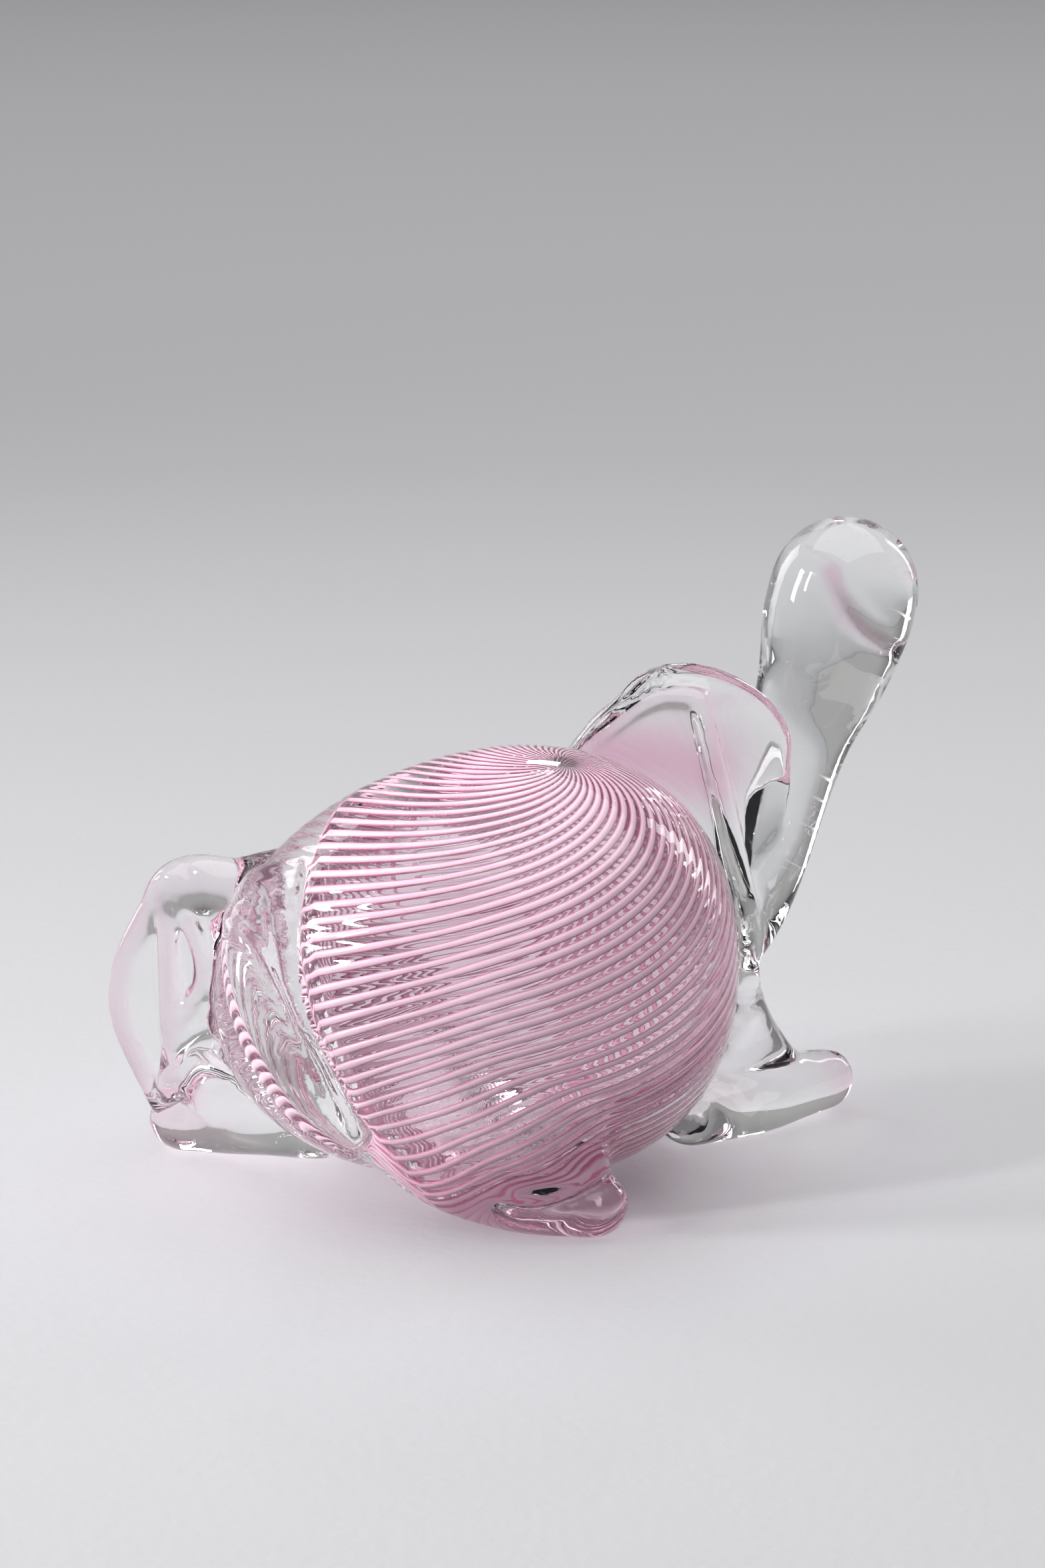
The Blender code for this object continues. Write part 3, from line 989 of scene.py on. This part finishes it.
@dataclass
class GlassBody:
    """The clear glass: outer gather, lumps and feet fused into one skin, with its hollow.

    Attributes:
        form: egg of the blown shell.
        maker: frame that sizes are written in.
        voxel: size of the cells that the lumps are fused at, in millimetres.
        melt: passes of smoothing that turn the joints to fillets.
        soften: passes of smoothing after the tool marks.
        hollow_inset: depth of the hollow's wall under the outer surface, in millimetres.
        hold: pull on the skin towards the egg where they touch, cut off at 1.
        let_go: gap over which that pull falls by 1, in millimetres.
        marks: ridges and grooves drawn in the soft glass.
    """

    form: ShellForm
    maker: MakerFrame
    voxel: float = 0.8
    melt: int = 12
    soften: int = 3
    hollow_inset: float = 4.54
    hold: float = 1.6
    let_go: float = 0.35
    marks: tuple[ToolMark, ...] = TOOL_MARKS

    def egg(
        self, name: str, inset: float, cuts: tuple[int, int], pinched: bool = False
    ) -> bpy.types.Object:
        """Model a sphere pulled to the shell's form.

        Args:
            name: name of the object.
            inset: depth under the outer surface in millimetres.
            cuts: divisions round the pole and from pole to pole.
            pinched: whether it closed in at the tail.

        Returns:
            The closed egg.
        """
        deselect_everything()
        bpy.ops.mesh.primitive_uv_sphere_add(segments=cuts[0], ring_count=cuts[1], radius=1.0)
        item = bpy.context.object
        item.name = item.data.name = name
        directions = unit(get_places(item.data) @ self.form.turn().T)
        laid = self.form.points(directions, inset)
        laid = pulled(TAIL_PINCH.moved(laid) if pinched else laid)
        set_places(item.data, laid * MM + np.array(self.maker.origin()))
        return item

    def fuse(self, items: list[bpy.types.Object]) -> bpy.types.Object:
        """Fuse overlapping lumps to one smooth skin, with fillets where they meet.

        Args:
            items: closed lumps.

        Returns:
            The skin.
        """
        make_active(items[0])
        for item in items:
            item.select_set(True)
        bpy.ops.object.join()
        skin = bpy.context.object
        skin.name = skin.data.name = "clear_glass_skin"
        remesh = skin.modifiers.new("Fuse", "REMESH")
        remesh.mode = "VOXEL"
        remesh.voxel_size = self.voxel * MM
        apply_modifiers(skin)
        relax(skin, "Melt", self.melt)
        return skin

    def snap_to_egg(self, skin: bpy.types.Object, guide: bpy.types.Object) -> None:
        """Lay the skin exactly on the egg where no lump stands on it, as plain_wall notes.

        Args:
            skin: fused skin.
            guide: fine egg of the shell's outer surface.
        """
        group = skin.vertex_groups.new(name="plain_shell")
        places = get_places(skin.data) / MM - np.array(self.maker.origin()) / MM
        away = places - np.array(self.form.centre)
        away[:, 2] += self.form.sag(places[:, 0])
        gap = np.linalg.norm(places - self.form.points(unit(away)), axis=1)
        weights = np.clip(self.hold - gap / self.let_go, 0.0, 1.0)
        keep_note(skin.data, "plain_wall", weights)
        for tenth in range(1, 11):
            chosen = np.nonzero(np.round(weights * 10.0) == tenth)[0]
            group.add(chosen.tolist(), tenth * 0.1, "REPLACE")
        wrap = skin.modifiers.new("Blow", "SHRINKWRAP")
        wrap.target = guide
        wrap.wrap_method = "NEAREST_SURFACEPOINT"
        wrap.vertex_group = group.name
        apply_modifiers(skin)

    def cut_soles(self, skin: bpy.types.Object) -> None:
        """Cut the skin off flat at the table, as the ground soles are.

        Args:
            skin: fused skin.
        """
        make_active(skin)
        bpy.ops.object.mode_set(mode="EDIT")
        bpy.ops.mesh.select_all(action="SELECT")
        bpy.ops.mesh.bisect(
            plane_co=(0.0, 0.0, 0.0),
            plane_no=(0.0, 0.0, 1.0),
            use_fill=True,
            clear_inner=True,
            threshold=1e-7,
        )
        bpy.ops.object.mode_set(mode="OBJECT")

    def blush_and_painted_refraction(self, skin: bpy.types.Object) -> None:
        """Note where the skin is painted pink: pink glass drawn into the clear, and a painted refraction of
        the canes at the hood.

        Args:
            skin: fused skin, before its hollow is joined.
        """
        places = (get_places(skin.data) - np.array(self.maker.origin())) / MM
        keep_note(skin.data, "blush_and_painted_refraction", np.max([blush_and_painted_refraction.over(places) for blush_and_painted_refraction in BLUSHES_AND_PAINTED_REFRACTION], axis=0))

    def add_hollow(self, skin: bpy.types.Object) -> bpy.types.Object:
        """Join the wall of the blown hollow, facing into the hollow, to the skin.

        Args:
            skin: outer skin.

        Returns:
            The skin with its hollow, whose wall has the notes veil and plain_wall.
        """
        hollow = self.egg("hollow", self.hollow_inset, HOLLOW_CUTS, pinched=True)
        for title in ("veil", "plain_wall"):
            keep_note(hollow.data, title, np.ones(len(hollow.data.vertices)))
        make_active(hollow)
        bpy.ops.object.mode_set(mode="EDIT")
        bpy.ops.mesh.select_all(action="SELECT")
        bpy.ops.mesh.flip_normals()
        bpy.ops.object.mode_set(mode="OBJECT")
        make_active(skin)
        hollow.select_set(True)
        bpy.ops.object.join()
        return skin

    def build(self) -> bpy.types.Object:
        """Model the whole clear glass body.

        Returns:
            The fused skin with its hollow.
        """
        egg = self.egg("shell_gather", 0.0, GATHER_CUTS)
        guide = self.egg("shell_guide", 0.0, GUIDE_CUTS)
        bits = [bit.build(self.maker) for bit in SHELL_BITS]
        skin = self.fuse([egg, *bits])
        for mark in self.marks:
            mark.press(skin, self.maker)
        relax(skin, "Soften", self.soften)
        self.snap_to_egg(skin, guide)
        self.cut_soles(skin)
        self.blush_and_painted_refraction(skin)
        bpy.data.objects.remove(guide)
        skin = self.add_hollow(skin)
        make_active(skin)
        bpy.ops.object.shade_smooth()
        LOG.info("clear glass skin: %d faces", len(skin.data.polygons))
        return skin


@dataclass
class Filigree:
    """The canes wound round the shell between its walls, in millimetres.

    Attributes:
        form: egg that the canes are wound on.
        maker: frame that sizes are written in.
        count: canes round the shell.
        cuts: cuts along a cane, as many as one subdivide makes.
        sides: corners of a ring.
        start: polar angle of the upper ends.
        end: polar angle of the lower ends.
        twist: turn round the pole for each turn away from it.
        inset: depth of the canes' middle under the outer surface.
        wide: half-width of a cane along the surface.
        thick: half-thickness of a cane through the wall.
        space: least gap between neighbours.
        swell: share of its thickness that a squeezed cane keeps, over the share of its width.
        nudge: share of a cane's length to each side that its direction is taken over.
    """

    form: ShellForm
    maker: MakerFrame
    count: int = 45
    cuts: int = 100
    sides: int = 10
    start: float = math.radians(2.5)
    end: float = math.radians(150.0)
    twist: float = 1.9
    inset: float = 2.17
    wide: float = 0.67
    thick: float = 0.42
    space: float = 0.25
    swell: float = 1.2
    nudge: float = 0.5 / 120

    def rod(self) -> bpy.types.Object:
        """Model one straight cane of unit length and radius, with its colour's notes.

        Returns:
            The rod, standing on z = 0. Its note rim is 0 on the faces that look out of and
            into the shell and 1 along the cane's two sides, and run is the share of its length.
        """
        deselect_everything()
        bpy.ops.mesh.primitive_cylinder_add(
            vertices=self.sides, radius=1.0, depth=1.0, location=(0.0, 0.0, 0.5)
        )
        item = bpy.context.object
        bpy.ops.object.transform_apply(location=True, rotation=False, scale=False)
        item.name = item.data.name = "cane_rod"
        bpy.ops.object.mode_set(mode="EDIT")
        bpy.ops.mesh.select_mode(type="EDGE")
        bpy.ops.mesh.select_all(action="DESELECT")
        bpy.ops.object.mode_set(mode="OBJECT")
        places = get_places(item.data)
        for edge in item.data.edges:
            first, second = (places[vertex] for vertex in edge.vertices)
            edge.select = bool(abs(first[2] - second[2]) > 0.5)
        bpy.ops.object.mode_set(mode="EDIT")
        bpy.ops.mesh.subdivide(number_cuts=self.cuts)
        bpy.ops.mesh.select_mode(type="VERT")
        bpy.ops.object.mode_set(mode="OBJECT")
        places = get_places(item.data)
        keep_note(item.data, "rim", np.abs(places[:, 0]))
        keep_note(item.data, "run", places[:, 2])
        item.data.shade_smooth()
        return item

    def path(self, number: int, along: np.ndarray) -> tuple[np.ndarray, np.ndarray]:
        """Find a cane's middle line.

        Args:
            number: cane, counted round the pole.
            along: shares of its length.

        Returns:
            Points in millimetres in the maker's frame, and the polar angles there.
        """
        polar = self.start + (self.end - self.start) * along
        azimuth = number * 2.0 * math.pi / self.count - self.twist * polar
        local = np.stack(
            (np.sin(polar) * np.cos(azimuth), np.sin(polar) * np.sin(azimuth), np.cos(polar)),
            axis=1,
        )
        laid = TAIL_PINCH.moved(self.form.points(local @ self.form.turn().T, self.inset))
        return pulled(laid), polar

    def lay(self, rod: bpy.types.Object, number: int) -> bpy.types.Object:
        """Copy the rod and lay it along its place on the shell.

        Args:
            rod: straight cane.
            number: cane, counted round the pole.

        Returns:
            The laid cane.
        """
        cane = rod.copy()
        cane.data = rod.data.copy()
        cane.name = cane.data.name = f"filigree_cane_{number + 1:02d}"
        bpy.context.scene.collection.objects.link(cane)
        places = get_places(cane.data)
        along = places[:, 2]
        middle, polar = self.path(number, along)
        after, before = (self.path(number, along + step)[0] for step in (self.nudge, -self.nudge))
        ahead = unit(after - before)
        outward = middle - np.array(self.form.centre)
        ring = np.linalg.norm(outward, axis=1) * np.sin(polar)
        lean = np.arctan(self.twist * np.sin(polar))
        room = 0.5 * (ring * 2.0 * math.pi / self.count * np.cos(lean) - self.space)
        room *= 1.0 - TAIL_PINCH.lost(middle)
        squeeze = np.minimum(1.0, room / self.wide)[:, None]
        across = unit(np.cross(unit(outward), ahead))
        outward = np.cross(ahead, across)
        laid = (
            middle
            + across * places[:, :1] * self.wide * squeeze
            + outward * places[:, 1:2] * self.thick * np.minimum(1.0, squeeze * self.swell)
        )
        set_places(cane.data, laid * MM + np.array(self.maker.origin()))
        return cane

    def build(self) -> list[bpy.types.Object]:
        """Model every cane.

        Returns:
            The canes, in order round the pole.
        """
        rod = self.rod()
        canes = [self.lay(rod, number) for number in range(self.count)]
        bpy.data.objects.remove(rod)
        LOG.info("filigree: %d canes", len(canes))
        return canes


# What goes into a node: other nodes' outputs or plain values, by the input's name or number.
Fed = dict[str | int, object]


class Wiring:
    """A node tree with short calls to add its nodes and feed them."""

    def __init__(self, tree: bpy.types.NodeTree) -> None:
        """Keep the tree to work on."""
        self.tree = tree

    def feed(self, node: bpy.types.Node, fed: Fed) -> None:
        """Link or set a node's inputs.

        Args:
            node: node to feed.
            fed: another node's output or a plain value, by the input's name or number.
        """
        for key, source in fed.items():
            if isinstance(source, bpy.types.NodeSocket):
                self.tree.links.new(source, node.inputs[key])
            else:
                node.inputs[key].default_value = source

    def add(self, kind: str, fed: Fed | None = None, **settings: object) -> bpy.types.Node:
        """Add a node.

        Args:
            kind: the node's type name.
            fed: what goes into its inputs.
            settings: properties of the node.

        Returns:
            The new node.
        """
        node = self.tree.nodes.new(kind)
        for name, value in settings.items():
            setattr(node, name, value)
        self.feed(node, fed or {})
        return node

    def note(self, title: str) -> bpy.types.NodeSocket:
        """Add a reader of a piece's own attribute and return its number."""
        return self.add("ShaderNodeAttribute", attribute_name=title).outputs["Fac"]

    def math(self, operation: str, *terms: object) -> bpy.types.NodeSocket:
        """Add a Math node for the terms, in order, and return its result."""
        node = self.add("ShaderNodeMath", dict(enumerate(terms)), operation=operation)
        return node.outputs["Value"]

    def mix(self, share: object, first: object, second: object) -> bpy.types.NodeSocket:
        """Add a mix of two colours, the second at a share of 1, and return its colour."""
        node = self.add("ShaderNodeMix", {0: share, 6: first, 7: second}, data_type="RGBA")
        return node.outputs[2]

    def ramp(
        self, value: object, span: tuple[float, float], curve: str = "LINEAR"
    ) -> bpy.types.NodeSocket:
        """Add a ramp from 0 to 1 over a span of the value.

        Args:
            value: what the ramp reads.
            span: values at which it starts and ends.
            curve: the Map Range node's interpolation.

        Returns:
            The ramp's output.
        """
        fed = {"Value": value, "From Min": span[0], "From Max": span[1]}
        return self.add("ShaderNodeMapRange", fed, interpolation_type=curve).outputs["Result"]

    def between(self, share: object, low: float, high: float) -> bpy.types.NodeSocket:
        """Add a value that runs from low to high with the share, and return it."""
        fed = {"Value": share, "To Min": low, "To Max": high}
        return self.add("ShaderNodeMapRange", fed).outputs["Result"]


def start_material(
    name: str,
) -> tuple[bpy.types.Material, Wiring, bpy.types.Node, bpy.types.Node]:
    """Start a material with the two nodes that every new one has.

    Args:
        name: name of the material.

    Returns:
        The material, its wiring, its Principled shader and its output node.
    """
    material = bpy.data.materials.new(name)
    material.use_nodes = True
    nodes = material.node_tree.nodes
    return material, Wiring(material.node_tree), nodes["Principled BSDF"], nodes["Material Output"]


def effect_group(
    name: str, inputs: dict[str, float], outputs: dict[str, str]
) -> tuple[bpy.types.ShaderNodeTree, Wiring, bpy.types.Node, bpy.types.Node]:
    """Start a shader node group for an effect.

    Args:
        name: name of the effect.
        inputs: its number inputs and their defaults.
        outputs: its outputs and their socket types.

    Returns:
        The group, its wiring and its input and output nodes.
    """
    tree = bpy.data.node_groups.new(name, "ShaderNodeTree")
    for title, value in inputs.items():
        socket = tree.interface.new_socket(title, in_out="INPUT", socket_type="NodeSocketFloat")
        socket.default_value = value
    for title, kind in outputs.items():
        tree.interface.new_socket(title, in_out="OUTPUT", socket_type=kind)
    wires = Wiring(tree)
    return tree, wires, wires.add("NodeGroupInput"), wires.add("NodeGroupOutput")


def hand_ripple() -> bpy.types.ShaderNodeTree:
    """Build the effect of faint ripples that tools and gravity leave in hot glass.

    Returns:
        A group with the inputs Scale and Grain, and the output Height.
    """
    tree, wires, start, end = effect_group(
        "hand_ripple", {"Scale": 60.0, "Grain": 0.2}, {"Height": "NodeSocketFloat"}
    )
    place = wires.add("ShaderNodeTexCoord").outputs["Object"]
    slow = wires.add(
        "ShaderNodeTexNoise",
        {"Vector": place, "Scale": start.outputs["Scale"], "Detail": 1.0, "Distortion": 0.6},
    )
    fine = wires.add(
        "ShaderNodeTexNoise", {"Vector": place, "Scale": FINE_GRAIN_SCALE, "Detail": 2.0}
    )
    grain = wires.math("MULTIPLY", fine.outputs["Fac"], start.outputs["Grain"])
    wires.feed(end, {"Height": wires.math("ADD", slow.outputs["Fac"], grain)})
    return tree


def cane_ribs(
    form: ShellForm, maker: MakerFrame, count: int, twist: float
) -> bpy.types.ShaderNodeTree:
    """Build the effect of the shell's faint ribs, one over each cane.

    Args:
        form: egg that the canes are wound on.
        maker: frame that its sizes are written in.
        count: canes round the shell.
        twist: turn round the pole for each turn away from it.

    Returns:
        A group with the output Height: a wave across the canes, nothing near the pole.
    """
    tree, wires, _, end = effect_group("cane_ribs", {}, {"Height": "NodeSocketFloat"})
    place = wires.add("ShaderNodeTexCoord").outputs["Object"]
    from_centre = {0: place, 1: maker.place(*form.centre)}
    away = wires.add("ShaderNodeVectorMath", from_centre, operation="SUBTRACT").outputs["Vector"]
    spans = []
    for column in form.turn().T:
        along = {0: away, 1: tuple(float(part) for part in column)}
        span = wires.add("ShaderNodeVectorMath", along, operation="DOT_PRODUCT")
        spans.append(span.outputs["Value"])
    length = wires.add("ShaderNodeVectorMath", {0: away}, operation="LENGTH").outputs["Value"]
    polar = wires.math("ARCCOSINE", wires.math("DIVIDE", spans[2], length))
    azimuth = wires.math("ARCTAN2", spans[1], spans[0])
    unwound = wires.math("MULTIPLY_ADD", polar, twist, azimuth)
    wave = wires.math("COSINE", wires.math("MULTIPLY", unwound, float(count)))
    grown = wires.ramp(polar, RIBS_GROW)
    wires.feed(end, {"Height": wires.math("MULTIPLY", wave, grown)})
    return tree


def settled_dust() -> bpy.types.ShaderNodeTree:
    """Build the effect of dust specks, thicker on faces that look up.

    Returns:
        A group with the inputs Scale and Amount, and the output Mask.
    """
    tree, wires, start, end = effect_group(
        "settled_dust", {"Scale": 700.0, "Amount": 0.2}, {"Mask": "NodeSocketFloat"}
    )
    where = wires.add("ShaderNodeTexCoord")
    specks = wires.add(
        "ShaderNodeTexNoise",
        {"Vector": where.outputs["Object"], "Scale": start.outputs["Scale"], "Detail": 0.0},
    )
    level = wires.ramp(specks.outputs["Fac"], SPECK_LEVEL)
    facing = wires.add("ShaderNodeSeparateXYZ", {"Vector": where.outputs["Normal"]})
    lay = wires.math("MULTIPLY", level, wires.ramp(facing.outputs["Z"], DUST_FACING))
    wires.feed(end, {"Mask": wires.math("MULTIPLY", lay, start.outputs["Amount"])})
    return tree


@dataclass(frozen=True)
class ClearGlassFinish:
    """Clear soda glass, fire-polished, with faint ripples and settled dust.

    Attributes:
        name: name of the material.
        tint: colour of the glass.
        veil: colour of the thin pink glass on the wall of the hollow.
        blush_and_painted_refraction: colour where that glass was drawn out into feet, rims and folds, and of
            the painted refraction of the pink canes at the hood.
        shadow: share of the lamps' light that passes each surface.
        roughness: gloss of the clean surface.
        dusty: roughness of a dust speck.
        dust_scale: number of dust specks over a metre.
        ripple_scale: number of slow ripples over a metre.
        ripple: strength of the ripples.
        grain: height of the fine grain beside the ripples'.
        rib: height of the ribs over the canes, in millimetres.
    """

    name: str = "clear_glass"
    tint: Triple = (0.985, 0.992, 0.988)
    veil: Triple = (0.94, 0.765, 0.85)
    blush_and_painted_refraction: Triple = (0.90, 0.55, 0.70)
    shadow: Triple = (0.86, 0.84, 0.85)
    roughness: float = 0.0
    dusty: float = 0.35
    dust_scale: float = 900.0
    ripple_scale: float = 70.0
    ripple: float = 0.10
    grain: float = 0.02
    rib: float = 0.05

    def material(
        self,
        ripple: bpy.types.ShaderNodeTree,
        ribs: bpy.types.ShaderNodeTree,
        dust: bpy.types.ShaderNodeTree,
    ) -> bpy.types.Material:
        """Build the material.

        Args:
            ripple: hand_ripple effect.
            ribs: cane_ribs effect.
            dust: settled_dust effect.

        Returns:
            Glass that lets the lamps through to what lies in it.
        """
        material, wires, glass, output = start_material(self.name)
        veiled = wires.mix(wires.note("veil"), (*self.tint, 1.0), (*self.veil, 1.0))
        # Pink where glass was drawn out, and a painted refraction of the pink canes at the hood.
        colour = wires.mix(wires.note("blush_and_painted_refraction"), veiled, (*self.blush_and_painted_refraction, 1.0))
        specks = wires.add(
            "ShaderNodeGroup", {"Scale": self.dust_scale, "Amount": 1.0}, node_tree=dust
        )
        waves = wires.add(
            "ShaderNodeGroup", {"Scale": self.ripple_scale, "Grain": self.grain}, node_tree=ripple
        )
        over_canes = wires.add("ShaderNodeGroup", node_tree=ribs)
        rib = wires.math("MULTIPLY", over_canes.outputs["Height"], wires.note("plain_wall"))
        ribbed = wires.add(
            "ShaderNodeBump", {"Height": rib, "Strength": 1.0, "Distance": self.rib * MM}
        )
        rippled = wires.add(
            "ShaderNodeBump",
            {
                "Height": waves.outputs["Height"],
                "Normal": ribbed.outputs["Normal"],
                "Strength": self.ripple,
                "Distance": MM,
            },
        )
        wires.feed(
            glass,
            {
                "IOR": GLASS_IOR,
                "Transmission Weight": 1.0,
                "Base Color": colour,
                "Roughness": wires.between(specks.outputs["Mask"], self.roughness, self.dusty),
                "Normal": rippled.outputs["Normal"],
            },
        )
        to_lamp = wires.add("ShaderNodeLightPath").outputs["Is Shadow Ray"]
        passing = wires.add("ShaderNodeBsdfTransparent", {"Color": (*self.shadow, 1.0)})
        choose = wires.add(
            "ShaderNodeMixShader", {0: to_lamp, 1: glass.outputs["BSDF"], 2: passing.outputs["BSDF"]}
        )
        wires.feed(output, {"Surface": choose.outputs["Shader"]})
        return material


@dataclass(frozen=True)
class CaneFinish:
    """Opaque pink and white cane glass: a pale core with pink along its sides.

    Attributes:
        name: name of the material.
        core: colour of the faces that look out of and into the shell.
        side: colour along the cane's two sides.
        edge: places across the cane where the side's colour starts and is full.
        wander: how far the streaks move that edge.
        streaks: scale of the streaks along the cane.
        roughness: middle roughness.
        gloss: shares of it at the streaks' two ends.
    """

    name: str = "cane_glass"
    core: Triple = (0.83, 0.62, 0.73)
    side: Triple = (0.62, 0.21, 0.35)
    edge: tuple[float, float] = (0.7, 1.1)
    wander: float = 0.3
    streaks: float = 6.0
    roughness: float = 0.28
    gloss: tuple[float, float] = (0.7, 1.3)

    def material(self) -> bpy.types.Material:
        """Build the material.

        Returns:
            Opaque glass coloured by the cane's own attributes.
        """
        material, wires, glass, _ = start_material(self.name)
        rim = wires.note("rim")
        spot = wires.add("ShaderNodeCombineXYZ", {"X": rim, "Y": wires.note("run")})
        noise = {"Vector": spot.outputs["Vector"], "Scale": self.streaks}
        streak = wires.add("ShaderNodeTexNoise", noise, noise_dimensions="2D").outputs["Fac"]
        across = wires.math("MULTIPLY_ADD", streak, self.wander, rim)
        share = wires.ramp(across, self.edge, "SMOOTHSTEP")
        rough = [self.roughness * part for part in self.gloss]
        wires.feed(
            glass,
            {
                "IOR": GLASS_IOR,
                "Base Color": wires.mix(share, (*self.core, 1.0), (*self.side, 1.0)),
                "Roughness": wires.between(streak, *rough),
            },
        )
        return material


@dataclass
class Studio:
    """Floor, soft lamps, room and camera.

    Attributes:
        maker: frame that places are written in.
        floor_colour: colour of the floor.
        room_low: colour of the room at the horizon.
        room_high: colour of the room overhead.
        room_side: colour of the room's left and right walls.
        rise: heights over which the room turns from low to high.
        aside: how far to the side its walls start and are full.
        aim: what the lamps face, in millimetres.
        lens: focal length in millimetres, on a sensor as high as the picture.
        sensor: height of that sensor, in millimetres.
        pitch: how far the camera looks down, in degrees.
        look_from: its place in millimetres.
    """

    maker: MakerFrame
    floor_colour: Triple = (0.60, 0.60, 0.62)
    room_low: Triple = (0.36, 0.36, 0.355)
    room_high: Triple = (0.17, 0.17, 0.175)
    room_side: Triple = (0.17, 0.17, 0.175)
    rise: tuple[float, float] = (0.05, 0.75)
    aside: tuple[float, float] = (0.45, 0.75)
    aim: Triple = (0.0, 0.0, 39.0)
    lens: float = 90.0
    sensor: float = 36.0
    pitch: float = 15.33
    look_from: Triple = (0.47, -658.1, 251.8)

    def floor(self) -> None:
        """Lay the pale floor."""
        deselect_everything()
        bpy.ops.mesh.primitive_plane_add(size=8.0)
        item = bpy.context.object
        item.name = "pale_floor"
        material, wires, paint, _ = start_material("pale_floor")
        place = wires.add("ShaderNodeTexCoord").outputs["Object"]
        grain = wires.add("ShaderNodeTexNoise", {"Vector": place, "Scale": 400.0, "Detail": 4.0})
        tooth = {"Height": grain.outputs["Fac"], "Strength": 0.15, "Distance": MM}
        bump = wires.add("ShaderNodeBump", tooth)
        wires.feed(
            paint,
            {
                "Base Color": (*self.floor_colour, 1.0),
                "Roughness": 0.75,
                "Normal": bump.outputs["Normal"],
            },
        )
        item.data.materials.append(material)

    def softbox(
        self,
        name: str,
        spot: Triple,
        size: tuple[float, float],
        power: float,
        spread: float = 80.0,
    ) -> None:
        """Hang a rectangular lamp that faces the shell.

        Args:
            name: name of the lamp.
            spot: its place in millimetres, in the maker's frame.
            size: its width and height in metres.
            power: its power in watts.
            spread: angle that its light leaves in, in degrees.
        """
        data = bpy.data.lights.new(name, "AREA")
        data.shape = "RECTANGLE"
        data.size, data.size_y = size
        data.energy = power
        data.spread = math.radians(spread)
        lamp = bpy.data.objects.new(name, data)
        lamp.location = self.maker.place(*spot)
        ahead = self.maker.place(*self.aim) - lamp.location
        lamp.rotation_euler = ahead.to_track_quat("-Z", "Y").to_euler()
        bpy.context.scene.collection.objects.link(lamp)

    def lamps(self) -> None:
        """Hang three windows on the left, one on the right, one behind and a fill overhead."""
        self.softbox("key_window", (-900.0, -140.0, 440.0), (0.14, 0.34), 0.75)
        self.softbox("side_window", (-750.0, -400.0, 495.0), (0.06, 0.28), 0.6)
        self.softbox("soft_window", (-860.0, 640.0, 380.0), (0.4, 0.8), 0.8)
        self.softbox("right_window", (700.0, 560.0, 360.0), (0.12, 0.6), 0.22)
        self.softbox("back_window", (60.0, 860.0, 600.0), (0.09, 0.09), 0.07)
        self.softbox("fill_overhead", (300.0, 300.0, 3900.0), (5.0, 5.0), 125.0, spread=180.0)

    def room(self) -> None:
        """Set the soft room: pale at the horizon, darker overhead and to both sides."""
        world = bpy.data.worlds.new("soft_room")
        bpy.context.scene.world = world
        world.use_nodes = True
        wires = Wiring(world.node_tree)
        place = wires.add("ShaderNodeTexCoord").outputs["Generated"]
        parts = wires.add("ShaderNodeSeparateXYZ", {"Vector": place})
        height = wires.ramp(parts.outputs["Z"], self.rise, "SMOOTHSTEP")
        shade = wires.mix(height, (*self.room_low, 1.0), (*self.room_high, 1.0))
        aside = wires.math("ABSOLUTE", parts.outputs["X"])
        wall = wires.ramp(aside, self.aside, "SMOOTHSTEP")
        colour = wires.mix(wall, shade, (*self.room_side, 1.0))
        wires.feed(world.node_tree.nodes["Background"], {"Color": colour})

    def camera(self) -> None:
        """Set the camera at the photograph's angle."""
        data = bpy.data.cameras.new("photo_camera")
        data.lens = self.lens
        data.sensor_width = self.sensor
        data.sensor_fit = "AUTO"
        data.clip_end = 20.0
        item = bpy.data.objects.new("photo_camera", data)
        item.location = self.maker.place(*self.look_from)
        item.rotation_euler = (math.radians(90.0 - self.pitch), 0.0, 0.0)
        bpy.context.scene.collection.objects.link(item)
        bpy.context.scene.camera = item

    def build(self) -> None:
        """Set the whole studio."""
        self.floor()
        self.lamps()
        self.room()
        self.camera()
        bpy.context.scene.view_settings.view_transform = "Standard"


# Nodes that the hot glass fused to the clear skin.
SKIN_NODES = (
    "clear_casing",
    "inner_bubble",
    "seal_button",
    "neck",
    "head",
    "collar_hood",
    "near_foot",
    "right_foot",
    "left_foot",
    "far_foot",
    "tail_fin",
    "side_leaf",
)


def main() -> None:
    """Build every piece, dress it and report it."""
    maker = MakerFrame()
    form = ShellForm()
    Studio(maker).build()
    filigree = Filigree(form, maker)
    ripple, dust = hand_ripple(), settled_dust()
    ribs = cane_ribs(form, maker, filigree.count, filigree.twist)

    skin = GlassBody(form, maker).build()
    skin.data.materials.clear()
    skin.data.materials.append(ClearGlassFinish().material(ripple, ribs, dust))
    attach(skin, BODY)
    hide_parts(*SKIN_NODES)
    LOG.info("%s stands for %d nodes", skin.name, len(SKIN_NODES))

    cane_glass = CaneFinish().material()
    for number, cane in enumerate(filigree.build()):
        cane.data.materials.clear()
        cane.data.materials.append(cane_glass)
        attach(cane, BODY)
        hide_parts(f"cane_{number + 1:02d}")
        LOG.info("%s laid", cane.name)


if __name__ == "__main__":
    main()
